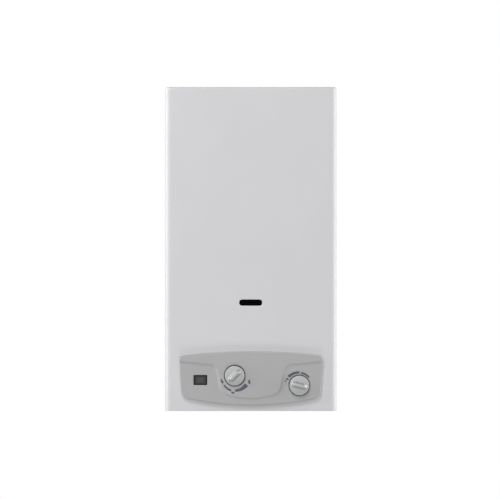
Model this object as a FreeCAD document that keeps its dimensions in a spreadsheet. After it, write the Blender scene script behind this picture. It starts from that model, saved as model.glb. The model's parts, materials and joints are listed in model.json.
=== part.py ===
"""Wall-hung tankless gas water heater, as an assembly of separate pieces.

Lengths are in millimetres. The origin lies on the wall, midway between the two upper hanging slots.
X points right as seen from the front, Y points into the wall, and Z points up.
Heights are given from the casing's lower edge, and level() turns them into Z.
"""
import FreeCAD, Part
import math
import os
import Sketcher

# Driving dimensions
SIZES = {
    # Front casing, folded from steel sheet
    "casing_width": 314,
    "casing_height": 592,
    "casing_front": 218,
    "casing_wall": 1,
    "casing_edge_radius": 9,
    "casing_top_radius": 4,
    "casing_lip": 12,
    "top_lip": 24,
    "wall_gap": 1,
    "slot_width": 42,
    "slot_height": 11.2,
    "slot_corner": 4.6,
    "slot_level": 198,
    "glass_margin": 8,
    "glass_thickness": 3,
    "clip_thickness": 1.5,
    "clip_reach": 6,
    "clip_rim": 2,
    "clip_hold": 4,
    "clip_hold_rise": 3,
    "seat_gap": 0.2,
    "casing_screw_head": 1.6,
    "casing_screw_reach": 6,
    # Back plate and its fixing holes
    "plate_thickness": 1.2,
    "plate_flange": 18,
    "plate_margin": 5,
    "fit_gap": 0.4,
    "hang_level": 560,
    "hang_spacing": 190,
    "hang_slot_length": 22,
    "hang_slot_radius": 4.5,
    "low_hole_level": 66,
    "low_hole_spacing": 250,
    "low_hole_radius": 3.5,
    "rib_width": 12,
    "rib_depth": 3,
    "rib_offset": 45,
    "rib_low_gap": 60,
    "rib_high_gap": 70,
    # Shelf that carries the valves
    "shelf_level": 36,
    "shelf_thickness": 1.5,
    "shelf_width": 300,
    "shelf_front": 188,
    "shelf_flange": 12,
    "shelf_leg": 50,
    "hole_gap": 0.5,
    # Control fascia
    "fascia_top_half": 131,
    "fascia_bottom_half": 127,
    "fascia_top_corner": 101.3,
    "fascia_top_middle": 109.2,
    "fascia_bottom_corner": 26,
    "fascia_bottom_middle": 11,
    "fascia_depth": 12,
    "fascia_step": 2.5,
    "fascia_wall": 2.2,
    "fascia_edge": 1,
    "fascia_top_round": 7,
    "fascia_bottom_round": 12,
    "fascia_seat": 12,
    "band_outer": 90,
    "band_inner": 84,
    "tongue_top_half": 64,
    "tongue_low_half": 52,
    "tongue_low_corner": 32,
    "tongue_bottom": 23,
    "band_round": 6,
    "tongue_round": 11,
    "tongue_neck": 1,
    "tongue_corner_out": 3,
    "tongue_corner_up": 8,
    "tongue_corner_down": 3,
    "fascia_boss_radius": 4,
    "boss_overlap": 0.5,
    "upper_boss_drop": 4,
    "lower_boss_lift": 2,
    "boss_bore_depth": 6,
    "fascia_screw_reach": 5,
    "fascia_screw_head": 2,
    "screw_bite": 0.5,
    # Display
    "display_across": -91.8,
    "display_level": 56.8,
    "display_width": 25,
    "display_height": 18.3,
    "lens_setback": 0.6,
    "lens_gap": 0.15,
    "display_rim": 5,
    "display_box_depth": 14,
    "display_box_wall": 1.5,
    "board_thickness": 1.6,
    # Knobs and their spindles
    "temperature_across": -29.4,
    "temperature_level": 64.9,
    "power_across": 88.6,
    "power_level": 47.2,
    "knob_radius": 18.1,
    "knob_gap": 0.8,
    "knob_skirt": 8,
    "knob_face": 6,
    "knob_wall": 2,
    "knob_edge": 1.6,
    "grip_width": 9,
    "grip_height": 9,
    "grip_reach": 15.2,
    "grip_overlap": 0.5,
    "grip_taper": 4,
    "hub_radius": 6,
    "spindle_radius": 3,
    "spindle_gap": 0.05,
    "spindle_depth": 10,
    "spindle_end_gap": 0.3,
    "temperature_rest": -135,
    "power_rest": -75,
    # Water valve with its diaphragm
    "water_width": 36,
    "water_depth": 40,
    "water_left": -50,
    "valve_axis_depth": 150,
    "water_bottom": 44,
    "water_top": 98,
    "passage_height": 22,
    "outlet_depth": 18,
    "drain_level": 12,
    "drain_radius": 4,
    "drain_bore_depth": 7,
    "drain_gap": 3,
    "drain_reach": 6,
    "drain_nut": 12,
    "drain_head": 8,
    "selector_radius": 12,
    "selector_length": 30,
    "diaphragm_level": 72,
    "diaphragm_radius": 33,
    "water_flange": 8,
    "diaphragm_thickness": 1.5,
    "diaphragm_room": 19.5,
    "room_depth": 4,
    "cover_depth": 12,
    "cover_wall": 4,
    "cover_neck_radius": 8,
    "cover_neck": 14,
    "cover_head_gap": 0.8,
    "cover_shoulder": 2.5,
    "water_inlet_across": -32,
    "water_outlet_across": -40,
    "screw_circle": 29,
    "screw_count": 6,
    "screw_radius": 2,
    "screw_head": 3.5,
    "screw_gap": 0.2,
    "flange_screw_head": 3,
    "gas_screw_head": 2.5,
    "gas_screw_inset": 6,
    # Pushrod between the water valve and the gas valve
    "pushrod_radius": 2.5,
    "pushrod_travel": 3.5,
    "pushrod_plate": 18,
    "pushrod_plate_thickness": 2,
    "pushrod_rest_gap": 0.5,
    "pushrod_entry": 6,
    "pushrod_end_gap": 3,
    "collar_radius": 6,
    "collar_width": 3,
    "collar_across": 31,
    "switch_left": 28,
    "switch_right": 48,
    "switch_half": 5,
    "switch_rise": 3.5,
    "bracket_level": 106,
    "bracket_reach": 4,
    "bracket_gap": 1,
    "pivot_level": 91,
    "pivot_offset": 1.2,
    "pivot_radius": 1,
    "ear_thickness": 1.5,
    "ear_half": 3,
    "ear_drop": 2.5,
    "ear_room": 9,
    "lever_gap": 0.3,
    "lever_barrel": 2,
    "blade_left": 0.8,
    "blade_right": 0.2,
    "blade_foot": 4,
    # Gas valve
    "gas_left": 56,
    "gas_width": 65,
    "gas_depth": 60,
    "gas_front": 182,
    "gas_bottom": 40,
    "gas_top": 100,
    "gas_boss_radius": 9,
    "gas_boss_length": 18,
    "gas_outlet_setback": 20,
    "gas_outlet_radius": 13,
    "gas_outlet_height": 4,
    "gas_outlet_depth": 16,
    "gas_inlet_reach": 27,
    "gas_inlet_shift": 4,
    "gas_cover_thickness": 5,
    "gas_inlet_setback": 22,
    "solenoid_radius": 14,
    "solenoid_length": 36,
    "solenoid_spacing": 33,
    "solenoid_lift": 6,
    "solenoid_stub_radius": 5,
    "solenoid_stub": 5,
    # Connections: half-inch threads under the shelf
    "thread_radius": 10.48,
    "nipple_length": 22,
    "bore_radius": 7,
    "nut_across": 27,
    "nut_height": 6,
    "inlet_boss_radius": 14,
    "filter_gap": 0.3,
    "filter_wall": 1,
    "filter_length": 16,
    "filter_end": 1.5,
    # Burner
    "bar_count": 11,
    "bar_width": 9,
    "bar_pitch": 18,
    "bar_length": 120,
    "bar_height": 34,
    "bar_neck": 5.4,
    "bar_crown": 6,
    "bar_shoulder": 2,
    "burner_bottom": 208,
    "frame_wall": 2,
    "frame_flange": 2,
    "frame_side_gap": 3,
    "frame_crown_gap": 4,
    "arm_near": 78,
    "arm_far": 98,
    "arm_foot": 20,
    "throat_radius": 4,
    "injector_radius": 3,
    "injector_length": 8,
    "manifold_size": 16,
    "manifold_half": 99,
    "manifold_wall": 1.5,
    "gas_pipe_rise": 35,
    "gas_pipe_cross": 30,
    "gas_pipe_bend": 25,
    "pilot_stem_radius": 3.4,
    "probe_stem_radius": 2.8,
    "pilot_stem_height": 10,
    "pilot_tip_radius": 1.1,
    "pilot_tip_gap": 1.5,
    "pilot_lift": 2,
    "tab_half": 5,
    "tab_depth": 3,
    "tab_lift": 3,
    "tab_thickness": 1.5,
    "pilot_tube_radius": 2,
    "pilot_tube_bend": 14,
    "pilot_tube_inset": 12,
    "pilot_tube_rise": 26,
    "pilot_tube_cross": 25,
    "pilot_tube_climb": 34,
    # Heat exchanger in copper
    "chamber_width": 216,
    "chamber_depth": 136,
    "chamber_back": 40,
    "chamber_wall": 1,
    "chamber_corner": 12,
    "chamber_height": 204,
    "tube_count": 4,
    "tube_radius": 7,
    "tube_wall": 1,
    "tube_spacing": 32,
    "tube_gap": 0.1,
    "tube_stub": 4,
    "tube_level": 421,
    "fin_count": 12,
    "fin_pitch": 16,
    "fin_thickness": 0.8,
    "fin_height": 44,
    "fin_gap": 0.3,
    "coil_radius": 6,
    "coil_gap": 0.4,
    "coil_low": 292,
    "coil_high": 352,
    "coil_bend": 13,
    "coil_start_offset": 14,
    "coil_start_drop": 24,
    "coil_cross": 35,
    "pipe_radius": 6,
    "pipe_wall": 1,
    "cold_pipe_rise": 42,
    "cold_pipe_cross": 20,
    "cold_pipe_bend": 24,
    "hot_pipe_bend": 14,
    "hot_pipe_offset": 130,
    "sensor_drop": 90,
    "sensor_height": 14,
    "sensor_outer": 4,
    "sensor_inner": 1.5,
    "sensor_front": 8,
    "sensor_rear": 2,
    "overheat_across": 60,
    "overheat_drop": 70,
    "overheat_radius": 9,
    "overheat_depth": 6,
    "overheat_cap_radius": 6,
    "overheat_cap": 6,
    "spill_across": 104,
    "spill_drop": 8,
    "spill_radius": 7,
    "spill_depth": 5,
    "spill_cap_radius": 5,
    "spill_cap": 5,
    # Flue way
    "hood_width": 252,
    "hood_depth": 150,
    "hood_back": 30,
    "hood_straight": 56,
    "hood_taper_height": 38,
    "hood_taper": 16,
    "hood_wall": 1,
    "hood_corner": 10,
    "relief_width": 180,
    "relief_height": 30,
    "relief_lift": 6,
    "relief_corner": 5,
    "collar_bore": 55.5,
    "collar_wall": 1,
    "collar_height": 40,
    "collar_flange": 5,
    "baffle_drop": 14,
    "baffle_half": 42,
    "baffle_rise": 9,
    "hood_bracket_lift": 18,
    "hood_bracket_height": 22,
    "bracket_rib_gap": 2,
    # Battery box
    "cell_radius": 17.1,
    "cell_height": 61.5,
    "cell_gap": 0.6,
    "cell_button_radius": 4.75,
    "cell_button_height": 1.5,
    "cell_headroom": 3,
    "battery_left": 4,
    "battery_back": 30,
    "battery_bottom": 22,
    "battery_wall": 1.8,
    "tray_floor": 3,
    "tray_wall": 1.6,
    "tray_gap": 0.35,
    "tray_fence": 30,
    "tray_divider": 20,
    "tray_lip": 7,
    "tray_lip_thickness": 1.8,
    "case_flange": 6,
    # Electrics
    "unit_width": 80,
    "unit_depth": 44,
    "unit_height": 70,
    "unit_left": -142,
    "unit_level": 92,
    "socket_inset": 10,
    "socket_pitch": 24,
    "socket_width": 16,
    "socket_setback": 12,
    "socket_depth": 12,
    "socket_height": 8,
    "groove_inset": 8,
    "groove_depth": 1.2,
    "groove_low": 12,
    "groove_pitch": 11,
    "groove_width": 4,
    "socket_count": 3,
    "groove_count": 6,
    "lead_radius": 1.6,
    "lead_bend": 14,
    "lead_rise": 12,
    "lead_sag": 5,
    "lead_step": 20,
}

doc = FreeCAD.newDocument("water_heater")
sheet = doc.addObject("Spreadsheet::Sheet", "Sizes")
for row, (alias, number) in enumerate(SIZES.items(), start=1):
    sheet.set(f"A{row}", alias)
    sheet.set(f"B{row}", str(number))
    sheet.setAlias(f"B{row}", alias)
doc.recompute()


class Size:
    """A length that carries its present value and the sheet expression that gives it."""

    def __init__(self, value, text):
        self.value = float(value)
        self.text = text

    def joined(self, other, sign, result):
        return Size(result, f"({self.text} {sign} {as_size(other).text})")

    def __add__(self, other):
        return self.joined(other, "+", self.value + as_size(other).value)

    def __sub__(self, other):
        return self.joined(other, "-", self.value - as_size(other).value)

    def __mul__(self, other):
        return self.joined(other, "*", self.value * as_size(other).value)

    def __truediv__(self, other):
        return self.joined(other, "/", self.value / as_size(other).value)

    def __radd__(self, other):
        return as_size(other) + self

    def __rsub__(self, other):
        return as_size(other) - self

    def __rmul__(self, other):
        return as_size(other) * self

    def __neg__(self):
        return Size(-self.value, f"(0 - {self.text})")

    def __float__(self):
        return self.value


def as_size(amount):
    """A plain number becomes a Size with a constant expression."""
    if isinstance(amount, Size):
        return amount
    return Size(amount, f"({float(amount):.6f})")


class Dimensions:
    """The sheet's cells by their alias."""

    def __getattr__(self, alias):
        return Size(sheet.get(alias), f"Sizes.{alias}")


size = Dimensions()


def level(height):
    """Z of a height above the casing's lower edge."""
    return height - size.hang_level


def bind(item, path, amount):
    """Tie one property of an object to the sheet."""
    item.setExpression(path, as_size(amount).text)


def place(item, across=0, depth=0, up=0):
    """Tie an object's place to the sheet."""
    for axis, amount in (("x", across), ("y", depth), ("z", up)):
        bind(item, f"Placement.Base.{axis}", amount)
    return item


# Part primitives

TURNS = {
    "right": FreeCAD.Rotation(FreeCAD.Vector(0, 1, 0), 90),
    "front": FreeCAD.Rotation(FreeCAD.Vector(1, 0, 0), 90),
    "up": FreeCAD.Rotation(),
}


def block(name, across, depth, up):
    """A block between two places on each axis."""
    item = doc.addObject("Part::Box", name)
    for side, (low, high) in (("Length", across), ("Width", depth), ("Height", up)):
        bind(item, side, as_size(high) - low)
    return place(item, across[0], depth[0], up[0])


def rod(name, radius, across, depth, up, way, length):
    """A cylinder that starts at a point and runs right, to the front or up."""
    item = doc.addObject("Part::Cylinder", name)
    bind(item, "Radius", radius)
    bind(item, "Height", length)
    item.Placement = FreeCAD.Placement(FreeCAD.Vector(), TURNS[way])
    return place(item, across, depth, up)


def hexagon(name, across_flats, across, depth, up, way, length):
    """A six-sided bar, such as a nut's outside."""
    item = doc.addObject("Part::Prism", name)
    item.Polygon = 6
    bind(item, "Circumradius", across_flats / math.sqrt(3))
    bind(item, "Height", length)
    item.Placement = FreeCAD.Placement(FreeCAD.Vector(), TURNS[way])
    return place(item, across, depth, up)


def fuse(name, pieces):
    """Several solids joined in one."""
    item = doc.addObject("Part::MultiFuse", name)
    item.Shapes = pieces
    item.Refine = True
    return item


def cut(name, base, tools):
    """A solid less one or more tools."""
    tool = tools[0] if len(tools) == 1 else fuse(f"{name}_tools", tools)
    item = doc.addObject("Part::Cut", name)
    item.Base = base
    item.Tool = tool
    item.Refine = True
    return item


def group(name, pieces):
    """Separate solids kept under one name."""
    item = doc.addObject("Part::Compound", name)
    item.Links = pieces
    return item


def tube(name, outer, inner, across, depth, up, way, length):
    """A straight pipe."""
    return cut(
        name,
        rod(f"{name}_outside", outer, across, depth, up, way, length),
        [rod(f"{name}_bore", inner, across, depth, up, way, length)],
    )


# PartDesign bodies

def body(name):
    return doc.addObject("PartDesign::Body", name)


def sketch(owner, name, plane, offset=None):
    """A sketch on one of the body's own planes, set off along the plane's normal."""
    item = owner.newObject("Sketcher::SketchObject", f"{owner.Name}_{name}")
    origin_plane = [part for part in owner.Origin.OriginFeatures if part.Role == plane][0]
    item.AttachmentSupport = [(origin_plane, "")]
    item.MapMode = "FlatFace"
    if offset is not None:
        bind(item, "AttachmentOffset.Base.z", offset)
    return item


def tie(item, kind, geometry, point, name, amount):
    """Hold one point of a sketch at a place from the sheet."""
    number = item.addConstraint(Sketcher.Constraint(kind, -1, 1, geometry, point, float(amount)))
    item.renameConstraint(number, name)
    item.setExpression(f"Constraints.{name}", as_size(amount).text)


def outline(item, corners):
    """A closed outline. Each corner is (across, along, bend): bend is None for a straight side to the
    next corner, or the radius of an arc, above zero where the arc turns to the left."""
    first = item.GeometryCount
    ends = []
    for index, (x, y, bend) in enumerate(corners):
        next_x, next_y, _ = corners[(index + 1) % len(corners)]
        start = FreeCAD.Vector(float(x), float(y), 0)
        stop = FreeCAD.Vector(float(next_x), float(next_y), 0)
        if bend is None:
            item.addGeometry(Part.LineSegment(start, stop))
            ends.append((1, 2))
            continue
        radius = abs(float(bend))
        turn = math.copysign(1, float(bend))
        chord = stop - start
        rise = math.sqrt(max(radius**2 - chord.Length**2 / 4, 0))
        normal = FreeCAD.Vector(-chord.y, chord.x, 0).normalize()
        middle = (start + stop) * 0.5
        via = middle + normal * (-turn * (radius - rise))
        item.addGeometry(Part.Arc(start, via, stop))
        ends.append((1, 2) if turn > 0 else (2, 1))
    for index, (x, y, bend) in enumerate(corners):
        side = first + index
        tie(item, "DistanceX", side, ends[index][0], f"across{side}", x)
        tie(item, "DistanceY", side, ends[index][0], f"along{side}", y)
        after = (index + 1) % len(corners)
        item.addConstraint(
            Sketcher.Constraint("Coincident", side, ends[index][1], first + after, ends[after][0])
        )
        if bend is not None:
            radius = as_size(bend) if float(bend) > 0 else -as_size(bend)
            number = item.addConstraint(Sketcher.Constraint("Radius", side, float(radius)))
            item.renameConstraint(number, f"radius{side}")
            item.setExpression(f"Constraints.radius{side}", radius.text)
    return item


def rectangle(item, across, along):
    """A rectangle between two places each way."""
    (left, right), (low, high) = across, along
    return outline(item, [(left, low, None), (right, low, None), (right, high, None), (left, high, None)])


def rounded(item, across, along, radius):
    """A rectangle with four round corners."""
    (left, right), (low, high) = across, along
    return outline(
        item,
        [
            (left + radius, low, None),
            (right - radius, low, radius),
            (right, low + radius, None),
            (right, high - radius, radius),
            (right - radius, high, None),
            (left + radius, high, radius),
            (left, high - radius, None),
            (left, low + radius, radius),
        ],
    )


def circle(item, across, along, radius):
    """A circle tied by its centre and radius."""
    number = item.addGeometry(
        Part.Circle(FreeCAD.Vector(float(across), float(along), 0), FreeCAD.Vector(0, 0, 1), float(radius))
    )
    tie(item, "DistanceX", number, 3, f"across{number}", across)
    tie(item, "DistanceY", number, 3, f"along{number}", along)
    size_number = item.addConstraint(Sketcher.Constraint("Radius", number, float(radius)))
    item.renameConstraint(size_number, f"radius{number}")
    item.setExpression(f"Constraints.radius{number}", as_size(radius).text)
    return item


def extrude(kind, owner, name, profile, length, flip=False):
    item = owner.newObject(f"PartDesign::{kind}", f"{owner.Name}_{name}")
    item.Profile = profile
    item.Reversed = flip
    bind(item, "Length", length)
    doc.recompute()
    return item


def pad(owner, name, profile, length, flip=False):
    return extrude("Pad", owner, name, profile, length, flip)


def pocket(owner, name, profile, length, flip=False):
    """Cut a profile into the body, and make sure that it took something away."""
    before = owner.Shape.Volume
    item = extrude("Pocket", owner, name, profile, length, flip)
    if not owner.Shape.Volume < before - 1e-6:
        raise RuntimeError(f"{item.Name} cuts nothing")
    return item


def spin(owner, name, profile, axis):
    """Turn a profile once round the sketch's own H_Axis or V_Axis."""
    item = owner.newObject("PartDesign::Revolution", f"{owner.Name}_{name}")
    item.Profile = profile
    item.ReferenceAxis = (profile, [axis])
    item.Angle = 360
    doc.recompute()
    return item


def dress(kind, owner, name, base, edges, amount, path):
    """A fillet or chamfer on chosen edges."""
    item = owner.newObject(f"PartDesign::{kind}", f"{owner.Name}_{name}")
    item.Base = (base, edges)
    bind(item, path, amount)
    doc.recompute()
    return item


def edges_where(shape, test):
    return [f"Edge{index}" for index, edge in enumerate(shape.Edges, start=1) if test(edge)]


def faces_where(shape, test):
    return [f"Face{index}" for index, face in enumerate(shape.Faces, start=1) if test(face)]


def hollow(owner, name, base, faces, wall):
    """Turn a solid into a shell that is open at the chosen faces."""
    item = owner.newObject("PartDesign::Thickness", f"{owner.Name}_{name}")
    item.Base = (base, faces)
    item.Reversed = True
    item.Mode = 0
    bind(item, "Value", wall)
    doc.recompute()
    return item


def turned(name, corners, way, across=0, depth=0, up=0):
    """A piece turned on a lathe. Its corners are (along, radius), and along runs right, to the back or up."""
    owner = body(name)
    if way == "right":
        profile = sketch(owner, "profile", "XY_Plane")
        outline(profile, [(along, radius, None) for along, radius in corners])
        spin(owner, "turn", profile, "H_Axis")
    else:
        profile = sketch(owner, "profile", "XY_Plane" if way == "back" else "XZ_Plane")
        outline(profile, [(radius, along, None) for along, radius in corners])
        spin(owner, "turn", profile, "V_Axis")
    place(owner, across, depth, up)
    return owner


# Bent pipes

def bend_path(points, radius):
    """Straight runs joined by tangent arcs, each at most as large as its two runs allow."""
    spots = [FreeCAD.Vector(*(float(part) for part in point)) for point in points]
    edges = []
    start = spots[0]
    for index in range(1, len(spots) - 1):
        corner = spots[index]
        inward = (corner - spots[index - 1]).normalize()
        outward = (spots[index + 1] - corner).normalize()
        turn = inward.getAngle(outward)
        shorter = min((corner - spots[index - 1]).Length, (spots[index + 1] - corner).Length)
        reach = min(float(radius) * math.tan(turn / 2), 0.48 * shorter)
        if index in (1, len(spots) - 2):
            reach = min(float(radius) * math.tan(turn / 2), 0.9 * shorter, reach * 2)
        bow = reach / math.tan(turn / 2)
        before = corner - inward * reach
        after = corner + outward * reach
        towards = (outward - inward).normalize()
        centre = corner + towards * (bow / math.cos(turn / 2))
        via = centre - towards * bow
        if (before - start).Length > 1e-6:
            edges.append(Part.LineSegment(start, before).toShape())
        edges.append(Part.Arc(before, via, after).toShape())
        start = after
    edges.append(Part.LineSegment(start, spots[-1]).toShape())
    return Part.Wire(edges)


def bent_solid(points, bend, radius):
    """A round bar swept along the path, with its volume compared with its section times its length."""
    path = bend_path(points, bend)
    first = path.Edges[0]
    way = first.tangentAt(first.FirstParameter)
    circle_edge = Part.Circle(first.valueAt(first.FirstParameter), way, float(radius)).toShape()
    solid = path.makePipeShell([Part.Wire([circle_edge])], True, False)
    wanted = math.pi * float(radius) ** 2 * path.Length
    if abs(solid.Volume - wanted) > 0.01 * wanted:
        raise RuntimeError("a swept pipe has the wrong volume")
    return solid


def bent_pipe(name, points, bend, outer, wall=None):
    """A pipe of its real outside radius, hollow where it has a wall."""
    shape = bent_solid(points, bend, outer)
    if wall is not None:
        shape = shape.cut(bent_solid(points, bend, outer - wall))
    item = doc.addObject("Part::Feature", name)
    item.Shape = shape
    item.Placement = FreeCAD.Placement()
    return item


# Places shared by several pieces
half_width = size.casing_width / 2
inner_half = half_width - size.casing_wall
front_face = -size.casing_front
front_inside = front_face + size.casing_wall
plate_front = -size.plate_thickness
valve_axis = -size.valve_axis_depth
shelf_top = size.shelf_level + size.shelf_thickness
chamber_bottom = size.burner_bottom + size.bar_height + size.frame_flange + size.frame_crown_gap
chamber_top = chamber_bottom + size.chamber_height
chamber_half = size.chamber_width / 2
chamber_rear = -size.chamber_back
chamber_front = chamber_rear - size.chamber_depth
chamber_middle = (chamber_rear + chamber_front) / 2
hood_top = chamber_top + size.hood_straight + size.hood_taper_height
hood_rear = -size.hood_back
hood_front = hood_rear - size.hood_depth
fascia_front = front_face - size.fascia_depth
wing_front = fascia_front + size.fascia_step
gas_right = size.gas_left + size.gas_width
gas_front = -size.gas_front
gas_back = gas_front + size.gas_depth
water_right = size.water_left + size.water_width
water_front = valve_axis - size.water_depth / 2
water_back = valve_axis + size.water_depth / 2


def arc_radius(half, rise):
    """Radius of an arc from its half chord and its rise."""
    return (half * half + rise * rise) / (2 * rise)


# Casing

def fascia_outline(item, inset):
    """The fascia's outline: bowed top and bottom, sides that lean in, round corners."""
    top_half = size.fascia_top_half - inset
    low_half = size.fascia_bottom_half - inset
    top = size.fascia_top_corner - inset
    top_rise = size.fascia_top_middle - size.fascia_top_corner
    low = size.fascia_bottom_corner + inset
    low_rise = size.fascia_bottom_corner - size.fascia_bottom_middle
    top_cut = size.fascia_top_round - inset * 0.2
    low_cut = size.fascia_bottom_round - inset * 0.2
    lean = (top_half - low_half) / (top - low)
    top_slope = 2 * top_rise / top_half * top_cut
    low_slope = 2 * low_rise / low_half * low_cut
    top_bow = arc_radius(top_half - top_cut, top_rise - top_slope)
    low_bow = arc_radius(low_half - low_cut, low_rise - low_slope)
    return outline(
        item,
        [
            (-(low_half - low_cut), level(low - low_slope), low_bow),
            (low_half - low_cut, level(low - low_slope), low_cut * 1.15),
            (low_half + lean * low_cut, level(low + low_cut), None),
            (top_half - lean * top_cut, level(top - top_cut), top_cut * 1.05),
            (top_half - top_cut, level(top + top_slope), top_bow),
            (-(top_half - top_cut), level(top + top_slope), top_cut * 1.05),
            (-(top_half - lean * top_cut), level(top - top_cut), None),
            (-(low_half + lean * low_cut), level(low + low_cut), low_cut * 1.15),
        ],
    )


def make_front_casing():
    """A sheet-steel hood with a front, two sides, and lips at the top and the bottom."""
    owner = body("front_casing")
    rear = -size.wall_gap
    edge = size.casing_edge_radius
    plan = sketch(owner, "plan", "XY_Plane", level(0))
    outline(
        plan,
        [
            (-half_width, rear, None),
            (-half_width, front_face + edge, edge),
            (-half_width + edge, front_face, None),
            (half_width - edge, front_face, edge),
            (half_width, front_face + edge, None),
            (half_width, rear, None),
        ],
    )
    wrap = pad(owner, "wrap", plan, size.casing_height)
    top = float(level(size.casing_height))
    behind = -float(size.wall_gap)
    edges = edges_where(
        wrap.Shape,
        lambda edge: abs(edge.BoundBox.ZMin - top) < 1e-4 and edge.BoundBox.YMin < behind - 1e-4,
    )
    crown = dress("Fillet", owner, "crown", wrap, edges, size.casing_top_radius, "Radius")
    back = faces_where(crown.Shape, lambda face: face.BoundBox.YMin > -float(size.wall_gap) - 1e-4)
    hollow(owner, "shell", crown, back, size.casing_wall)
    top_opening = sketch(owner, "top_opening", "XY_Plane", level(size.casing_height))
    rectangle(
        top_opening, (-(half_width - size.top_lip), half_width - size.top_lip), (front_face + size.top_lip, 5)
    )
    pocket(owner, "top_mouth", top_opening, size.casing_wall * 2)
    low_opening = sketch(owner, "low_opening", "XY_Plane", level(0))
    rectangle(
        low_opening, (-(half_width - size.casing_lip), half_width - size.casing_lip),
        (front_face + size.casing_lip, 5),
    )
    pocket(owner, "low_mouth", low_opening, size.casing_wall * 2, True)
    openings = sketch(owner, "openings", "XZ_Plane", size.casing_front + 5)
    rounded(
        openings,
        (-(size.slot_width / 2), size.slot_width / 2),
        (level(size.slot_level - size.slot_height / 2), level(size.slot_level + size.slot_height / 2)),
        size.slot_corner,
    )
    fascia_outline(openings, size.fascia_seat)
    for across, height in boss_places:
        circle(openings, across, level(height), size.screw_radius)
    pocket(owner, "front_openings", openings, size.casing_wall + 10)
    screws = sketch(owner, "screw_holes", "XY_Plane", level(0))
    for across in (-screw_across, screw_across):
        circle(screws, across, screw_depth, size.screw_radius + size.screw_gap)
    pocket(owner, "screw_holes_cut", screws, size.casing_wall * 2, True)
    return owner


screw_across = inner_half - size.fit_gap - size.plate_flange / 3
screw_depth = plate_front - size.plate_flange / 2


def make_casing_screws():
    """Two screws up through the casing's lower lip into the back plate."""
    screws = []
    low = level(-size.casing_screw_head)
    for index, across in enumerate((-screw_across, screw_across)):
        head = rod(
            f"casing_screw_head{index}", size.screw_head, across, screw_depth, low, "up",
            size.casing_screw_head,
        )
        shank = rod(
            f"casing_screw_shank{index}", size.screw_radius, across, screw_depth, low,
            "up", size.casing_wall + size.plate_thickness + size.casing_screw_reach,
        )
        screws.append(fuse(f"casing_screw{index}", [head, shank]))
    return group("casing_screws", screws)


def make_back_plate():
    """A pressed plate with side flanges, a top and a bottom flange, hanging slots and lower holes."""
    owner = body("back_plate")
    half = inner_half - size.fit_gap
    thick = size.plate_thickness
    flange = -size.plate_flange
    low = size.casing_wall
    high = size.casing_height - size.plate_margin
    plan = sketch(owner, "plan", "XY_Plane", level(low))
    outline(
        plan,
        [
            (-half, flange, None),
            (-half + thick, flange, None),
            (-half + thick, -thick, None),
            (half - thick, -thick, None),
            (half - thick, flange, None),
            (half, flange, None),
            (half, 0, None),
            (-half, 0, None),
        ],
    )
    pad(owner, "wrap", plan, high - low)
    for name, start in (("low_flange", low), ("top_flange", high - thick)):
        profile = sketch(owner, name, "XY_Plane", level(start))
        rectangle(profile, (-half + thick / 2, half - thick / 2), (flange, -thick / 2))
        pad(owner, f"{name}_pad", profile, thick)
    rib_low = level(size.low_hole_level + size.rib_low_gap)
    rib_high = level(high - size.rib_high_gap)
    ribs = sketch(owner, "ribs", "XZ_Plane")
    grooves = sketch(owner, "grooves", "XZ_Plane")
    for side in (-1, 1):
        middle = size.rib_offset * side
        reach = size.rib_width / 2
        rectangle(ribs, (middle - reach, middle + reach), (rib_low, rib_high))
        rectangle(
            grooves, (middle - reach + thick, middle + reach - thick), (rib_low + thick, rib_high - thick)
        )
    pad(owner, "rib_pads", ribs, size.rib_depth)
    pocket(owner, "rib_grooves", grooves, size.rib_depth - thick, True)
    holes = sketch(owner, "holes", "XZ_Plane", 5)
    slot_half = size.hang_slot_length / 2
    for side in (-1, 1):
        middle = size.hang_spacing / 2 * side
        rounded(
            holes, (middle - slot_half, middle + slot_half),
            (-size.hang_slot_radius, size.hang_slot_radius), size.hang_slot_radius - 0.01,
        )
        circle(holes, size.low_hole_spacing / 2 * side, level(size.low_hole_level), size.low_hole_radius)
    pocket(owner, "fixing_holes", holes, 10)
    screws = sketch(owner, "screw_holes", "XY_Plane", level(low))
    for across in (-screw_across, screw_across):
        circle(screws, across, screw_depth, size.screw_radius)
    pocket(owner, "screw_holes_cut", screws, thick * 2, True)
    return owner


battery_right = size.battery_left + 4 * size.cell_radius + 3 * size.cell_gap + 2 * (
    size.tray_wall + size.tray_gap + size.battery_wall
)
battery_rear = -size.battery_back
battery_front = battery_rear - (
    2 * size.cell_radius + 2 * size.cell_gap + 2 * (size.tray_wall + size.tray_gap + size.battery_wall)
)
gas_inlet_depth = gas_back - size.gas_inlet_setback
gas_inlet_across = size.power_across + size.gas_inlet_shift


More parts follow.
